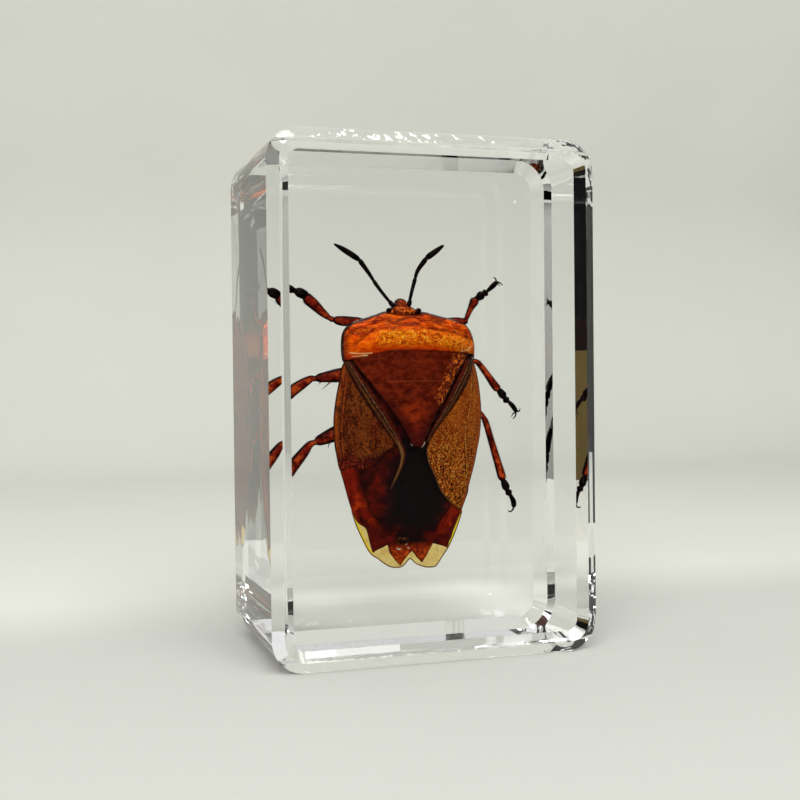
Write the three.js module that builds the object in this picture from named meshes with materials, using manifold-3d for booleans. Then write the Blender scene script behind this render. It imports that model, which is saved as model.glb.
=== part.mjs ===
// A shield bug cast in a clear resin block, in millimetres with +Z up.
// The block stands on its bottom face and its front looks along -Y. X runs to
// the right, and the origin is the middle of the bottom face.
// The resin is parted in two halves around a close pocket, and the dried bug
// lies in the pocket as one solid, head up and back to the front.

import * as THREE from 'three';
import { mergeVertices } from 'three/addons/utils/BufferGeometryUtils.js';
import Module from 'manifold-3d';

const wasm = await Module();
wasm.setup();

// Driving dimensions of the block.
const BLOCK_WIDTH = 39;
const BLOCK_HEIGHT = 60;
const BLOCK_DEPTH = 24.85;
const BLOCK_CORNER = 3.8;
const BACK_BEVEL = 1.5;
const PARTING_Y = 1.6;
const PARTING_GAP = 0.05;

// The front is a flat window inside a raised rim. The rim is highest on a
// line between its foot at the window and the side walls.
const RIM_HEIGHT = 0.85;
const RIM_FOOT_INSET = 2.45;
const RIM_CREST_INSET = 1.3;

// Driving dimensions of the bug. AXIS_X is the line down the middle of its
// back, and RIM_Y the depth of the thin edge that runs round its body. Places
// on the head and limbs are measured from these two.
const AXIS_X = -1;
const RIM_Y = 1.4;
const POCKET_CLEARANCE = 0.35;
const PLATE_LIFT = 0.28;
const PLATE_DEPTH = 0.5;

// Body sections from tail to neck: height, half width, rise of the back in
// front of the rim, and depth of the belly behind it.
const BODY_SECTIONS = [
  { z: 11.3, half: 3.1, back: 0.35, belly: 0.7 },
  { z: 14.5, half: 5.9, back: 0.9, belly: 2.1 },
  { z: 18.5, half: 7.3, back: 1.4, belly: 2.9 },
  { z: 23, half: 8.7, back: 1.9, belly: 3.4 },
  { z: 28, half: 9.2, back: 2.4, belly: 3.7 },
  { z: 32.5, half: 8.7, back: 2.8, belly: 3.7 },
  { z: 36.5, half: 8.4, back: 2.7, belly: 3.3 },
  { z: 38.8, half: 6.8, back: 1.9, belly: 2.5 },
  { z: 40.4, half: 2.6, back: 0.9, belly: 1.4 },
];
const BODY_RINGS = 18;
const BODY_SIDES = 24;

const PRONOTUM_REAR_Z = 35;
const PRONOTUM_FRONT_Z = 40.2;
const SCUTELLUM_TIP_Z = 23.9;
const SCUTELLUM_HALF = 6.9;
const CORIUM_TIP_Z = 16.4;
const PLATE_RINGS = 7;
const PLATE_STEPS = 6;

// The clear wing tips that stand out past the abdomen, and the dark toothed
// last segment over them, as outlines in X and Z measured from the axis.
const WING_TIP_OUTLINE = [
  [-7.2, 18.6], [-6.1, 14.9], [-4.7, 11.6], [-2.6, 10], [-1.2, 9.7], [0, 11],
  [1.4, 9.75], [3.3, 9.7], [4.9, 11.7], [6.2, 14.1], [6.9, 16.5], [6.4, 19],
];
const LAST_SEGMENT_OUTLINE = [
  [-5.2, 14.5], [-4.6, 11.8], [-2.9, 12.4], [-1.15, 10.1], [0, 11.3],
  [1.4, 10.3], [2.9, 12.4], [4.8, 12], [5.4, 14.5], [0, 16],
];
const WING_TIP_THICKNESS = 0.25;
const LAST_SEGMENT_THICKNESS = 0.9;

// Head, eyes and limbs. A limb is a chain of points with a radius at each.
const HEAD = { x: -0.65, y: -0.1, z: 40.5, rx: 1.3, ry: 0.9, rz: 1.3 };
const EYE_RADIUS = 0.52;
const EYE_OFFSET = 1.9;
const EYE_Z = 40.4;
const LIMB_SIDES = 8;

const ANTENNAE = [
  [[-1.7, -0.1, 41, 0.27], [-4.2, -0.4, 43.9, 0.2], [-5.9, -0.6, 46.3, 0.27], [-8.98, -0.8, 48.1, 0.15]],
  [[0.1, -0.1, 41, 0.27], [1.04, -0.4, 44.3, 0.2], [2.4, -0.6, 46.65, 0.28], [4.6, -0.8, 48.27, 0.15]],
];
const LEGS = [
  [[-3, 1.6, 37.6, 0.6], [-8.9, 1.6, 39.4, 0.45], [-12.3, 1.6, 42.1, 0.62], [-14.2, 1.6, 42.9, 0.45],
    [-16.3, 1.6, 43.4, 0.26]],
  [[2.5, 1.6, 37.6, 0.6], [7.87, 1.6, 39.25, 0.38], [9.2, 1.6, 42, 0.55], [12, 1.6, 44.1, 0.28]],
  [[-3, 2.2, 32.4, 0.8], [-9.9, 2.2, 32.6, 0.65], [-11.1, 2.2, 32.4, 0.44], [-14, 2.2, 30.8, 0.66],
    [-15.4, 2.2, 28.9, 0.45], [-16.8, 2.2, 26.4, 0.26]],
  [[3, 2.2, 32.4, 0.8], [9.1, 2.2, 34.3, 0.38], [12.3, 2.2, 30.7, 0.52], [14.6, 2.2, 28.1, 0.28]],
  [[-3, 2.6, 27.4, 0.8], [-8.4, 2.6, 25.9, 0.9], [-11.05, 2.6, 24.85, 0.46], [-13.8, 2.6, 22, 0.7],
    [-15.2, 2.6, 19.2, 0.45], [-15.9, 2.6, 16.3, 0.26]],
  [[3, 2.6, 27.4, 0.8], [9.6, 2.6, 27.9, 0.38], [12.7, 2.6, 20, 0.54], [13.7, 2.6, 17.8, 0.4],
    [14.2, 2.6, 16.1, 0.28]],
];
const CLAW_SPREAD = 0.5;
const CLAW_LENGTH = 0.8;
const CLAW_RADIUS = 0.12;
const BEAK = [[-0.5, 1.4, 40.2, 0.4], [-0.45, 3.3, 38, 0.3], [-0.3, 4, 33.5, 0.2]];

// Closed mesh from rings of equally many points, with a fan over each end.
function loft(rings) {
  const sides = rings[0].length;
  const positions = [];
  const index = [];
  for (const ring of rings) {
    for (const p of ring) positions.push(p.x, p.y, p.z);
  }
  for (let r = 0; r + 1 < rings.length; r += 1) {
    for (let i = 0; i < sides; i += 1) {
      const a = r * sides + i;
      const b = r * sides + ((i + 1) % sides);
      index.push(a, b, a + sides, b, b + sides, a + sides);
    }
  }
  for (const [ring, flip] of [[0, true], [rings.length - 1, false]]) {
    const middle = new THREE.Vector3();
    for (const p of rings[ring]) middle.addScaledVector(p, 1 / sides);
    const centre = positions.length / 3;
    positions.push(middle.x, middle.y, middle.z);
    for (let i = 0; i < sides; i += 1) {
      const a = ring * sides + i;
      const b = ring * sides + ((i + 1) % sides);
      if (flip) index.push(centre, b, a);
      else index.push(centre, a, b);
    }
  }
  const geometry = new THREE.BufferGeometry();
  geometry.setAttribute('position', new THREE.Float32BufferAttribute(positions, 3));
  geometry.setIndex(index);
  return geometry;
}

// Manifold solid of a closed geometry, turned inside out where its faces
// point inward.
function solid(geometry) {
  const bare = geometry.clone();
  bare.deleteAttribute('normal');
  bare.deleteAttribute('uv');
  const merged = mergeVertices(bare, 1e-5);
  const position = merged.attributes.position.array;
  const tris = Array.from(merged.index.array);
  let volume = 0;
  for (let i = 0; i < tris.length; i += 3) {
    const [a, b, c] = [0, 1, 2].map((k) => new THREE.Vector3().fromArray(position, 3 * tris[i + k]));
    volume += a.dot(b.cross(c)) / 6;
  }
  if (volume < 0) tris.reverse();
  return new wasm.Manifold(new wasm.Mesh({
    numProp: 3,
    vertProperties: new Float32Array(position),
    triVerts: new Uint32Array(tris),
  }));
}

function geometryOf(manifold) {
  const mesh = manifold.getMesh();
  const geometry = new THREE.BufferGeometry();
  geometry.setAttribute('position', new THREE.BufferAttribute(new Float32Array(mesh.vertProperties), 3));
  geometry.setIndex(new THREE.BufferAttribute(new Uint32Array(mesh.triVerts), 1));
  geometry.computeVertexNormals();
  return geometry;
}

const joined = (solids) => solids.reduce((all, next) => all.add(next));

// The block: rounded rectangles stacked from front to back.
function roundedRectangle(inset, y) {
  const stepsPerCorner = 7;
  const radius = Math.max(BLOCK_CORNER - inset, 0.6);
  const reachX = BLOCK_WIDTH / 2 - inset - radius;
  const reachZ = BLOCK_HEIGHT / 2 - inset - radius;
  const ring = [];
  for (let corner = 0; corner < 4; corner += 1) {
    const signX = corner === 0 || corner === 3 ? 1 : -1;
    const signZ = corner < 2 ? 1 : -1;
    for (let i = 0; i <= stepsPerCorner; i += 1) {
      const angle = (Math.PI / 2) * (corner + i / stepsPerCorner);
      const x = signX * reachX + radius * Math.cos(angle);
      const z = BLOCK_HEIGHT / 2 + signZ * reachZ + radius * Math.sin(angle);
      ring.push(new THREE.Vector3(x, y, z));
    }
  }
  return ring;
}

function blockFront() {
  const windowY = RIM_HEIGHT - BLOCK_DEPTH / 2;
  return solid(loft([
    roundedRectangle(RIM_FOOT_INSET, windowY),
    roundedRectangle(RIM_CREST_INSET, windowY - RIM_HEIGHT),
    roundedRectangle(0, windowY),
    roundedRectangle(0, PARTING_Y - PARTING_GAP / 2),
  ]));
}

function blockBack() {
  const backY = BLOCK_DEPTH / 2;
  return solid(loft([
    roundedRectangle(0, PARTING_Y + PARTING_GAP / 2),
    roundedRectangle(0, backY - BACK_BEVEL),
    roundedRectangle(BACK_BEVEL, backY),
  ]));
}

// Smooth body section at a height, read from a spline through the stations.
const sectionCurves = ['half', 'back', 'belly'].map((key) => new THREE.CatmullRomCurve3(
  BODY_SECTIONS.map((section) => new THREE.Vector3(section.z, section[key], 0)),
  false,
  'centripetal',
));

function bodySection(z) {
  const heights = BODY_SECTIONS.map((section) => section.z);
  const last = heights.length - 1;
  const bounded = THREE.MathUtils.clamp(z, heights[0], heights[last]);
  let station = 0;
  while (station < last - 1 && heights[station + 1] < bounded) station += 1;
  const part = (bounded - heights[station]) / (heights[station + 1] - heights[station]);
  const [half, back, belly] = sectionCurves.map((curve) => curve.getPoint((station + part) / last).y);
  return { half, back, belly };
}

// Height of the back in front of the rim, at an offset x from the axis.
function backRise(x, z) {
  const { half, back } = bodySection(z);
  const across = Math.min(Math.abs(x) / half, 1);
  return back * (1 - across ** 2.2) ** 0.7;
}

function bodyRing(z, margin) {
  const { half, back, belly } = bodySection(z);
  const ring = [];
  for (let i = 0; i < BODY_SIDES; i += 1) {
    const angle = (2 * Math.PI * i) / BODY_SIDES;
    const depth = Math.sin(angle) > 0 ? belly : back;
    ring.push(new THREE.Vector3(
      AXIS_X + (half + margin) * Math.cos(angle),
      RIM_Y + (depth + margin) * Math.sign(Math.sin(angle)) * Math.abs(Math.sin(angle)) ** 1.1,
      z,
    ));
  }
  return ring;
}

function body(margin) {
  const low = BODY_SECTIONS[0].z;
  const high = BODY_SECTIONS[BODY_SECTIONS.length - 1].z;
  const rings = [];
  for (let i = 0; i <= BODY_RINGS; i += 1) {
    const z = THREE.MathUtils.lerp(low, high, i / BODY_RINGS);
    rings.push(bodyRing(z, margin));
  }
  if (margin > 0) {
    rings.unshift(bodyRing(low, margin).map((p) => p.setZ(low - margin)));
    rings.push(bodyRing(high, margin).map((p) => p.setZ(high + margin)));
  }
  return solid(loft(rings));
}

// A plate that lies on the back between two edges, given as offsets from the
// axis at each height. It follows the back and stands a little proud of it.
function backPlate(lowZ, highZ, leftEdge, rightEdge) {
  const rings = [];
  for (let i = 0; i <= PLATE_RINGS; i += 1) {
    const z = THREE.MathUtils.lerp(lowZ, highZ, i / PLATE_RINGS);
    const upper = [];
    const lower = [];
    for (let k = 0; k <= PLATE_STEPS; k += 1) {
      const x = THREE.MathUtils.lerp(leftEdge(z), rightEdge(z), k / PLATE_STEPS);
      const front = RIM_Y - backRise(x, z) - PLATE_LIFT;
      upper.push(new THREE.Vector3(AXIS_X + x, front, z));
      lower.push(new THREE.Vector3(AXIS_X + x, front + PLATE_LIFT + PLATE_DEPTH, z));
    }
    rings.push([...upper, ...lower.reverse()]);
  }
  return solid(loft(rings));
}

function pronotum() {
  const edge = (z) => bodySection(z).half - 0.15;
  return backPlate(PRONOTUM_REAR_Z, PRONOTUM_FRONT_Z, (z) => -edge(z), edge);
}

function scutellumHalf(z) {
  const along = (z - SCUTELLUM_TIP_Z) / (PRONOTUM_REAR_Z - SCUTELLUM_TIP_Z);
  return 0.5 + (SCUTELLUM_HALF - 0.5) * Math.max(along, 0) ** 1.05;
}

function scutellum() {
  return backPlate(SCUTELLUM_TIP_Z, PRONOTUM_REAR_Z, (z) => -scutellumHalf(z), scutellumHalf);
}

// Leathery fore wing on one side, from the shoulder to its slanting tip.
function corium(side) {
  const wingGap = 0.35;
  const inner = (z) => {
    const below = Math.max(SCUTELLUM_TIP_Z - z, 0) / (SCUTELLUM_TIP_Z - CORIUM_TIP_Z);
    return scutellumHalf(z) + wingGap + 4.6 * below;
  };
  const outer = (z) => Math.max(bodySection(z).half - 0.1, inner(z) + 0.3);
  const edges = side < 0 ? [(z) => -outer(z), (z) => -inner(z)] : [inner, outer];
  return backPlate(CORIUM_TIP_Z, PRONOTUM_REAR_Z - 0.6, ...edges);
}

// Flat plate of an outline in X and Z, with its front at frontY.
function flatPlate(outline, frontY, thickness) {
  const shape = new THREE.Shape(outline.map(([x, z]) => new THREE.Vector2(AXIS_X + x, z)));
  const geometry = new THREE.ExtrudeGeometry(shape, { depth: thickness, bevelEnabled: false });
  geometry.rotateX(Math.PI / 2);
  geometry.translate(0, frontY + thickness, 0);
  return solid(geometry);
}

// Tapered tube through the points of a limb, measured from the axis.
function limb(chain, margin) {
  const points = chain.map(([x, y, z]) => new THREE.Vector3(AXIS_X + x, RIM_Y + y, z));
  const last = points.length - 1;
  const rings = points.map((point, i) => {
    const ahead = points[Math.min(i + 1, last)].clone().sub(points[Math.max(i - 1, 0)]).normalize();
    const side = new THREE.Vector3(0, 1, 0).cross(ahead).normalize();
    const up = ahead.clone().cross(side);
    const centre = point.clone();
    if (i === 0) centre.addScaledVector(ahead, -margin);
    if (i === last) centre.addScaledVector(ahead, margin);
    const radius = chain[i][3] + margin;
    const ring = [];
    for (let k = 0; k < LIMB_SIDES; k += 1) {
      const angle = (2 * Math.PI * k) / LIMB_SIDES;
      ring.push(centre.clone()
        .addScaledVector(side, radius * Math.cos(angle))
        .addScaledVector(up, radius * Math.sin(angle)));
    }
    return ring;
  });
  return solid(loft(rings));
}

// The two hooked claws at the end of a leg.
function claws(leg, margin) {
  const [fx, fy, fz] = leg[leg.length - 1];
  const [bx, , bz] = leg[leg.length - 2];
  const length = Math.hypot(fx - bx, fz - bz);
  const alongX = (fx - bx) / length;
  const alongZ = (fz - bz) / length;
  return [-1, 1].map((side) => limb([
    [fx - 0.2 * alongX, fy, fz - 0.2 * alongZ, 0.2],
    [
      fx + CLAW_LENGTH * alongX - side * CLAW_SPREAD * alongZ,
      fy,
      fz + CLAW_LENGTH * alongZ + side * CLAW_SPREAD * alongX,
      CLAW_RADIUS,
    ],
  ], margin));
}

function ellipsoid(x, y, z, rx, ry, rz, margin) {
  const ball = new THREE.SphereGeometry(1, 14, 9);
  ball.scale(rx + margin, ry + margin, rz + margin);
  ball.translate(AXIS_X + x, RIM_Y + y, z);
  return solid(ball);
}

// Every part that sticks out of the body. The margin makes them fatter, for
// the pocket that they lie in.
function headAndLimbs(margin) {
  return [
    ellipsoid(HEAD.x, HEAD.y, HEAD.z, HEAD.rx, HEAD.ry, HEAD.rz, margin),
    ...[-1, 1].map((side) => ellipsoid(
      HEAD.x + side * EYE_OFFSET, HEAD.y, EYE_Z, EYE_RADIUS, EYE_RADIUS, EYE_RADIUS, margin,
    )),
    ellipsoid(HEAD.x, HEAD.y, EYE_Z, EYE_OFFSET, 0.5, 0.6, margin),
    ...ANTENNAE.map((chain) => limb(chain, margin)),
    ...LEGS.map((chain) => limb(chain, margin)),
    ...LEGS.flatMap((chain) => claws(chain, margin)),
    limb(BEAK, margin),
  ];
}

function bug() {
  return joined([
    body(0),
    pronotum(),
    scutellum(),
    corium(-1),
    corium(1),
    flatPlate(WING_TIP_OUTLINE, RIM_Y - 0.5, WING_TIP_THICKNESS),
    flatPlate(LAST_SEGMENT_OUTLINE, RIM_Y - 0.3, LAST_SEGMENT_THICKNESS),
    ...headAndLimbs(0),
  ]);
}

// The pocket clears the body with its plates, the wing tips and the limbs.
function pocket() {
  const grown = WING_TIP_OUTLINE.map(([x, z]) => [x * 1.1, z < 15 ? z - 0.5 : z + 0.5]);
  return joined([
    body(PLATE_LIFT + POCKET_CLEARANCE),
    flatPlate(grown, RIM_Y - 0.5 - POCKET_CLEARANCE, LAST_SEGMENT_THICKNESS + 3 * POCKET_CLEARANCE),
    ...headAndLimbs(POCKET_CLEARANCE),
  ]);
}

const clearResin = {
  color: 0xe8ece9,
  roughness: 0.03,
  metalness: 0,
  transparent: true,
  opacity: 0.3,
};
const amberCuticle = { color: 0x8a3a0c, roughness: 0.35, metalness: 0 };

function named(name, manifold, look) {
  const mesh = new THREE.Mesh(geometryOf(manifold), new THREE.MeshStandardMaterial(look));
  mesh.name = name;
  return mesh;
}

const hollow = pocket();

const insectInResin = new THREE.Group();
insectInResin.add(
  named('resin_front', blockFront().subtract(hollow), clearResin),
  named('resin_back', blockBack().subtract(hollow), clearResin),
  named('shield_bug', bug(), amberCuticle),
);

export default insectInResin;
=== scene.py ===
import math

import bpy
import numpy as np
from mathutils import Matrix, Vector
from mathutils.geometry import delaunay_2d_cdt


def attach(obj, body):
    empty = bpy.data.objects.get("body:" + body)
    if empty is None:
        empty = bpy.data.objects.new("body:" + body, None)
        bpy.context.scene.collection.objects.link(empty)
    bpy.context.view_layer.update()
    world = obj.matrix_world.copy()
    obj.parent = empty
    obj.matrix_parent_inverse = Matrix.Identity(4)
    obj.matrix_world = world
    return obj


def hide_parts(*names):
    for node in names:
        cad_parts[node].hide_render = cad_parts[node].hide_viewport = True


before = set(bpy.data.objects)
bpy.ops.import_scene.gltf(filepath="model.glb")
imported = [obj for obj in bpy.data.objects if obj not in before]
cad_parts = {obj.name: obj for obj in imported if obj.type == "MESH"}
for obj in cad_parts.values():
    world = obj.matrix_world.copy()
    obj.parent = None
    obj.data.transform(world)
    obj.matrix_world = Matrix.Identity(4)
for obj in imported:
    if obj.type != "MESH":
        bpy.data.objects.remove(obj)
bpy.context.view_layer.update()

# %% [markdown]
# A shield bug cast in a block of clear resin. The maker pours a first layer,
# lays the dried bug on it with its back to the front, pours the rest and
# polishes the hard block. Everything here is in millimetres until a mesh is
# made, because the bug's smallest parts are a tenth of a millimetre, and all
# meshes go through one helper, so each is placed and reported the same way.

# %% Sizes of the block and place of the bug
MM = 0.001
WIDTH, HEIGHT = 39.0, 60.0
FLAT_Y = -11.575
BACK_Y = 12.425
BUG_DEPTH = 13.0
BUG_Y = FLAT_Y + BUG_DEPTH
rng = np.random.default_rng(7)


def make_mesh(name, vertices, faces, material, marks=None):
    """A mesh piece from millimetre vertices. It rides on the one body."""
    mesh = bpy.data.meshes.new(name)
    points = (np.asarray(vertices, float) * MM).tolist()
    mesh.from_pydata(points, [], [tuple(int(i) for i in f) for f in faces])
    mesh.validate()
    for key, values in (marks or {}).items():
        layer = mesh.attributes.new(key, "FLOAT", "POINT")
        layer.data.foreach_set("value", np.asarray(values, np.float32))
    piece = bpy.data.objects.new(name, mesh)
    bpy.context.scene.collection.objects.link(piece)
    mesh.materials.append(material)
    mesh.shade_smooth()
    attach(piece, "root")
    print(name, "has", len(mesh.polygons), "faces")
    return piece


print("block", WIDTH, "x", HEIGHT, "x", BACK_Y - FLAT_Y, "mm, bug", BUG_DEPTH, "mm deep")

# %% [markdown]
# Finishes are node trees. A small helper class keeps each of them short: it
# places a node, joins it up, and measures textures in millimetres on the bug
# itself, so a speck stays the size that it has on a real insect. A finish
# starts from one ramp of colours, and each tint is laid over what is there,
# as a painter glazes, so the order of the lines is the order of the coats.

# %% Finish helper
def srgb(red, green, blue):
    """Linear colour of an ordinary display colour."""
    def one(c):
        return c / 12.92 if c <= 0.04045 else ((c + 0.055) / 1.055) ** 2.4
    return (one(red), one(green), one(blue), 1.0)


class Finish:
    """A material that is built up step by step from procedural nodes."""
    colour = None

    def __init__(self, name):
        self.material = bpy.data.materials.new(name)
        self.material.use_nodes = True
        self.tree = self.material.node_tree
        self.shader = self.tree.nodes["Principled BSDF"]
        self.place = self.node("ShaderNodeTexCoord").outputs["Object"]

    def node(self, kind, **settings):
        made = self.tree.nodes.new(kind)
        for key, value in settings.items():
            setattr(made, key, value)
        return made

    def feed(self, socket, value):
        if isinstance(value, bpy.types.NodeSocket):
            self.tree.links.new(value, socket)
        else:
            socket.default_value = value

    def stretched(self, stretch=(1, 1, 1), turn=0.0):
        made = self.node("ShaderNodeMapping")
        self.feed(made.inputs["Vector"], self.place)
        made.inputs["Rotation"].default_value = (0, math.radians(turn), 0)
        made.inputs["Scale"].default_value = tuple(1000.0 * s for s in stretch)
        return made.outputs["Vector"]

    def noise(self, size, detail=3.0, rough=0.55, stretch=(1, 1, 1), turn=0.0, bend=0.0):
        made = self.node("ShaderNodeTexNoise")
        self.feed(made.inputs["Vector"], self.stretched(stretch, turn))
        made.inputs["Scale"].default_value = 1.0 / size
        made.inputs["Detail"].default_value = detail
        made.inputs["Roughness"].default_value = rough
        made.inputs["Distortion"].default_value = bend
        return made.outputs["Fac"]

    def cells(self, size, stretch=(1, 1, 1)):
        made = self.node("ShaderNodeTexVoronoi", feature="F1")
        self.feed(made.inputs["Vector"], self.stretched(stretch))
        made.inputs["Scale"].default_value = 1.0 / size
        return made.outputs["Distance"]

    def mark(self, name):
        made = self.node("ShaderNodeAttribute", attribute_name=name)
        return made.outputs["Fac"]

    def axis(self, letter):
        made = self.node("ShaderNodeSeparateXYZ")
        self.feed(made.inputs[0], self.stretched())
        return made.outputs[letter]

    def rise(self, value, low, high, start=0.0, end=1.0):
        made = self.node("ShaderNodeMapRange", interpolation_type="SMOOTHSTEP")
        self.feed(made.inputs["Value"], value)
        keys = ("From Min", "From Max", "To Min", "To Max")
        for key, number in zip(keys, (low, high, start, end)):
            made.inputs[key].default_value = number
        return made.outputs["Result"]

    def sums(self, kind, a, b):
        made = self.node("ShaderNodeMath", operation=kind)
        self.feed(made.inputs[0], a)
        self.feed(made.inputs[1], b)
        return made.outputs[0]

    def times(self, *factors):
        product = factors[0]
        for factor in factors[1:]:
            product = self.sums("MULTIPLY", product, factor)
        return product

    def window(self, value, low, high, soft):
        """1 between low and high, 0 outside, with soft edges."""
        return self.times(self.rise(value, low - soft, low + soft),
                          self.rise(value, high - soft, high + soft, 1.0, 0.0))

    def spot(self, x, z, across, along, soft):
        return self.times(self.window(self.axis("X"), x - across, x + across, soft),
                          self.window(self.axis("Z"), z - along, z + along, soft))

    def ramp(self, value, *stops):
        made = self.node("ShaderNodeValToRGB")
        self.feed(made.inputs[0], value)
        elements = made.color_ramp.elements
        while len(elements) < len(stops):
            elements.new(0.5)
        for element, (position, colour) in zip(elements, stops):
            element.position = position
            element.color = colour
        return made.outputs["Color"]

    def mix(self, share, a, b):
        made = self.node("ShaderNodeMix", data_type="RGBA")
        self.feed(made.inputs["Factor"], share)
        self.feed(made.inputs[6], a)
        self.feed(made.inputs[7], b)
        return made.outputs[2]

    def tint(self, colour, *shares):
        """Lays a colour over the colour so far, by the product of the shares."""
        self.colour = self.mix(self.times(*shares), self.colour, colour)

    def bump(self, height, depth):
        """Relief from a 0 to 1 height that stands depth millimetres proud."""
        made = self.node("ShaderNodeBump")
        made.inputs["Distance"].default_value = depth * MM
        self.feed(made.inputs["Height"], height)
        if self.shader.inputs["Normal"].is_linked:
            self.feed(made.inputs["Normal"], self.shader.inputs["Normal"].links[0].from_socket)
        self.feed(self.shader.inputs["Normal"], made.outputs["Normal"])

    def set(self, **values):
        for key, value in values.items():
            self.feed(self.shader.inputs[key.replace("_", " ")], value)

    def cuticle(self, roughness):
        """Insect skin inside resin shines little, as both bend light alike."""
        self.set(Base_Color=self.colour, Roughness=roughness, IOR=1.15, Specular_IOR_Level=0.3)
        return self.material


print("a middle grey reflects", round(srgb(0.5, 0.5, 0.5)[0], 3), "of the light")

# %% [markdown]
# Water-clear resin takes its colour from the room. It could be built with
# painted reflections, but one closed solid with plain transmission and the
# resin's own IOR bends the view by itself and stays right from every side.
# The top and bottom of the rim are slightly wavy, as cast, so a low relief
# breaks the lamps' reflections there into small sparks.

# %% Clear resin finish
RESIN_IOR = 1.53
RIM_HEIGHT = 0.85


def clear_resin():
    finish = Finish("clear_resin")
    finish.bump(finish.noise(9.0, 1.5, 0.4), 0.02)
    on_rim = finish.rise(finish.axis("Y"), FLAT_Y - 0.1, FLAT_Y - 0.02, 1.0, 0.0)
    at_top = finish.rise(finish.axis("Z"), 58.2, 58.6)
    at_bottom = finish.rise(finish.axis("Z"), 1.4, 1.8, 1.0, 0.0)
    at_ends = finish.sums("ADD", at_top, at_bottom)
    finish.bump(finish.times(finish.noise(2.6, 2.0, 0.5), finish.times(on_rim, at_ends)), 0.28)
    finish.set(Base_Color=(0.985, 0.99, 0.985, 1.0), Roughness=0.0, IOR=RESIN_IOR)
    finish.set(Transmission_Weight=1.0)
    return finish.material


print("rim", RIM_HEIGHT, "mm high, IOR", RESIN_IOR)

# %% [markdown]
# The clear block is one solid. Its front is a flat polished window inside a
# slightly raised, rounded rim, left where the resin crept up the mould wall.
# The back edges are cut with a narrow straight chamfer. A cube with bevels
# would round every edge alike, so rings of rounded rectangles follow this
# profile from the window over the rim to the back. Only the four long corners
# are shaded as round. Every other edge stays sharp.

# %% The clear block
CORNER = 3.8
CORNER_STEPS = 40
CHAMFER = 1.5


def rounded_rectangle(inset, y):
    radius = max(CORNER - inset, 0.7)
    ring = []
    for sign_x, sign_z, start in ((1, 1, 0), (-1, 1, 90), (-1, -1, 180), (1, -1, 270)):
        for i in range(CORNER_STEPS + 1):
            angle = math.radians(start + 90 * i / CORNER_STEPS)
            x = sign_x * (WIDTH / 2 - inset - radius) + radius * math.cos(angle)
            z = HEIGHT / 2 + sign_z * (HEIGHT / 2 - inset - radius) + radius * math.sin(angle)
            ring.append((x, y, z))
    return ring


def ringed_faces(rows, count, outward=True):
    """Quads between rings of points, and a flat face at both ends."""
    faces = []
    for k in range(rows - 1):
        for i in range(count):
            a, d = k * count + i, k * count + (i + 1) % count
            faces.append((a, a + count, d + count, d) if outward else (a, d, d + count, a + count))
    first, last = tuple(range(count)), tuple(range((rows - 1) * count, rows * count))
    return faces + ([first, last[::-1]] if outward else [first[::-1], last])


rim = [(2.45, 0.0), (1.3, -RIM_HEIGHT), (0.0, 0.0)]
profile = [(inset, FLAT_Y + y) for inset, y in rim]
profile += [(0.0, BACK_Y - CHAMFER), (CHAMFER, BACK_Y)]
rings = [rounded_rectangle(inset, y) for inset, y in profile]
count = len(rings[0])
corners = [p for ring in rings for p in ring]
block = make_mesh("clear_block", corners, ringed_faces(len(rings), count), clear_resin())
round_lines = {(k * count + i, (k + 1) * count + i) for k in range(len(rings) - 1)
               for i in range(count) if i % (CORNER_STEPS + 1) not in (0, CORNER_STEPS)}
for edge in block.data.edges:
    edge.use_edge_sharp = tuple(sorted(edge.vertices)) not in round_lines
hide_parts("resin_front", "resin_back")
print("lines shaded as round:", len(round_lines))

# %% [markdown]
# The bug's back is one smooth swelling. Its height in front of the thin body
# edge is a formula of the place across and along the body, and every plate
# of armour, wing and membrane is laid over that same formula. So they all
# follow each other without gaps, as they do on the insect.

# %% The swelling of the back
BODY_EDGE = np.array([(9.5, -3.4, 2.4), (11.7, -5.2, 3.4), (13.0, -5.8, 4.0), (14.5, -6.2, 4.6),
                      (15.3, -6.7, 5.0), (16.2, -7.5, 5.6), (18.5, -8.5, 6.3), (21.7, -9.45, 7.25),
                      (24.8, -9.98, 7.98), (27.0, -10.12, 8.2), (29.0, -10.0, 8.15),
                      (31.4, -9.55, 7.8), (34.0, -8.95, 7.45), (36.0, -9.15, 7.45),
                      (37.7, -8.95, 7.0), (38.5, -8.45, 6.5), (39.3, -6.9, 4.8), (40.0, -4.7, 2.3),
                      (40.6, -3.6, 0.6), (42.0, -2.8, -0.6)])
BACK_RISE = np.array([
    (9.5, 0.1), (12.0, 0.45), (15.0, 1.0), (19.0, 1.5), (23.0, 1.95), (27.0, 2.3), (31.0, 2.6),
    (34.0, 2.9), (36.5, 3.05), (38.3, 2.45), (39.5, 1.7), (40.4, 1.1), (42.0, 0.7)])


def edges_at(z):
    left = np.interp(z, BODY_EDGE[:, 0], BODY_EDGE[:, 1])
    right = np.interp(z, BODY_EDGE[:, 0], BODY_EDGE[:, 2])
    return left, right


def back_rise(x, z):
    left, right = edges_at(z)
    middle, half = (left + right) / 2, (right - left) / 2
    across = np.clip(np.abs(x - middle) / half, 0, 1)
    peak = np.interp(z, BACK_RISE[:, 0], BACK_RISE[:, 1])
    return peak * (1 - across ** 2.3) ** 0.75


widest = np.diff(BODY_EDGE[:, 1:]).max()
print("body", round(widest, 2), "mm wide, back", BACK_RISE[:, 1].max(), "mm high")

# %% [markdown]
# Insect armour has smooth outlines that a few measured points describe. These
# helpers draw the smooth line through them at even steps, and tell for many
# points at once how far they lie from a line and whether they are inside it.
# Even steps give even triangles, which shade without creases.

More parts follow.
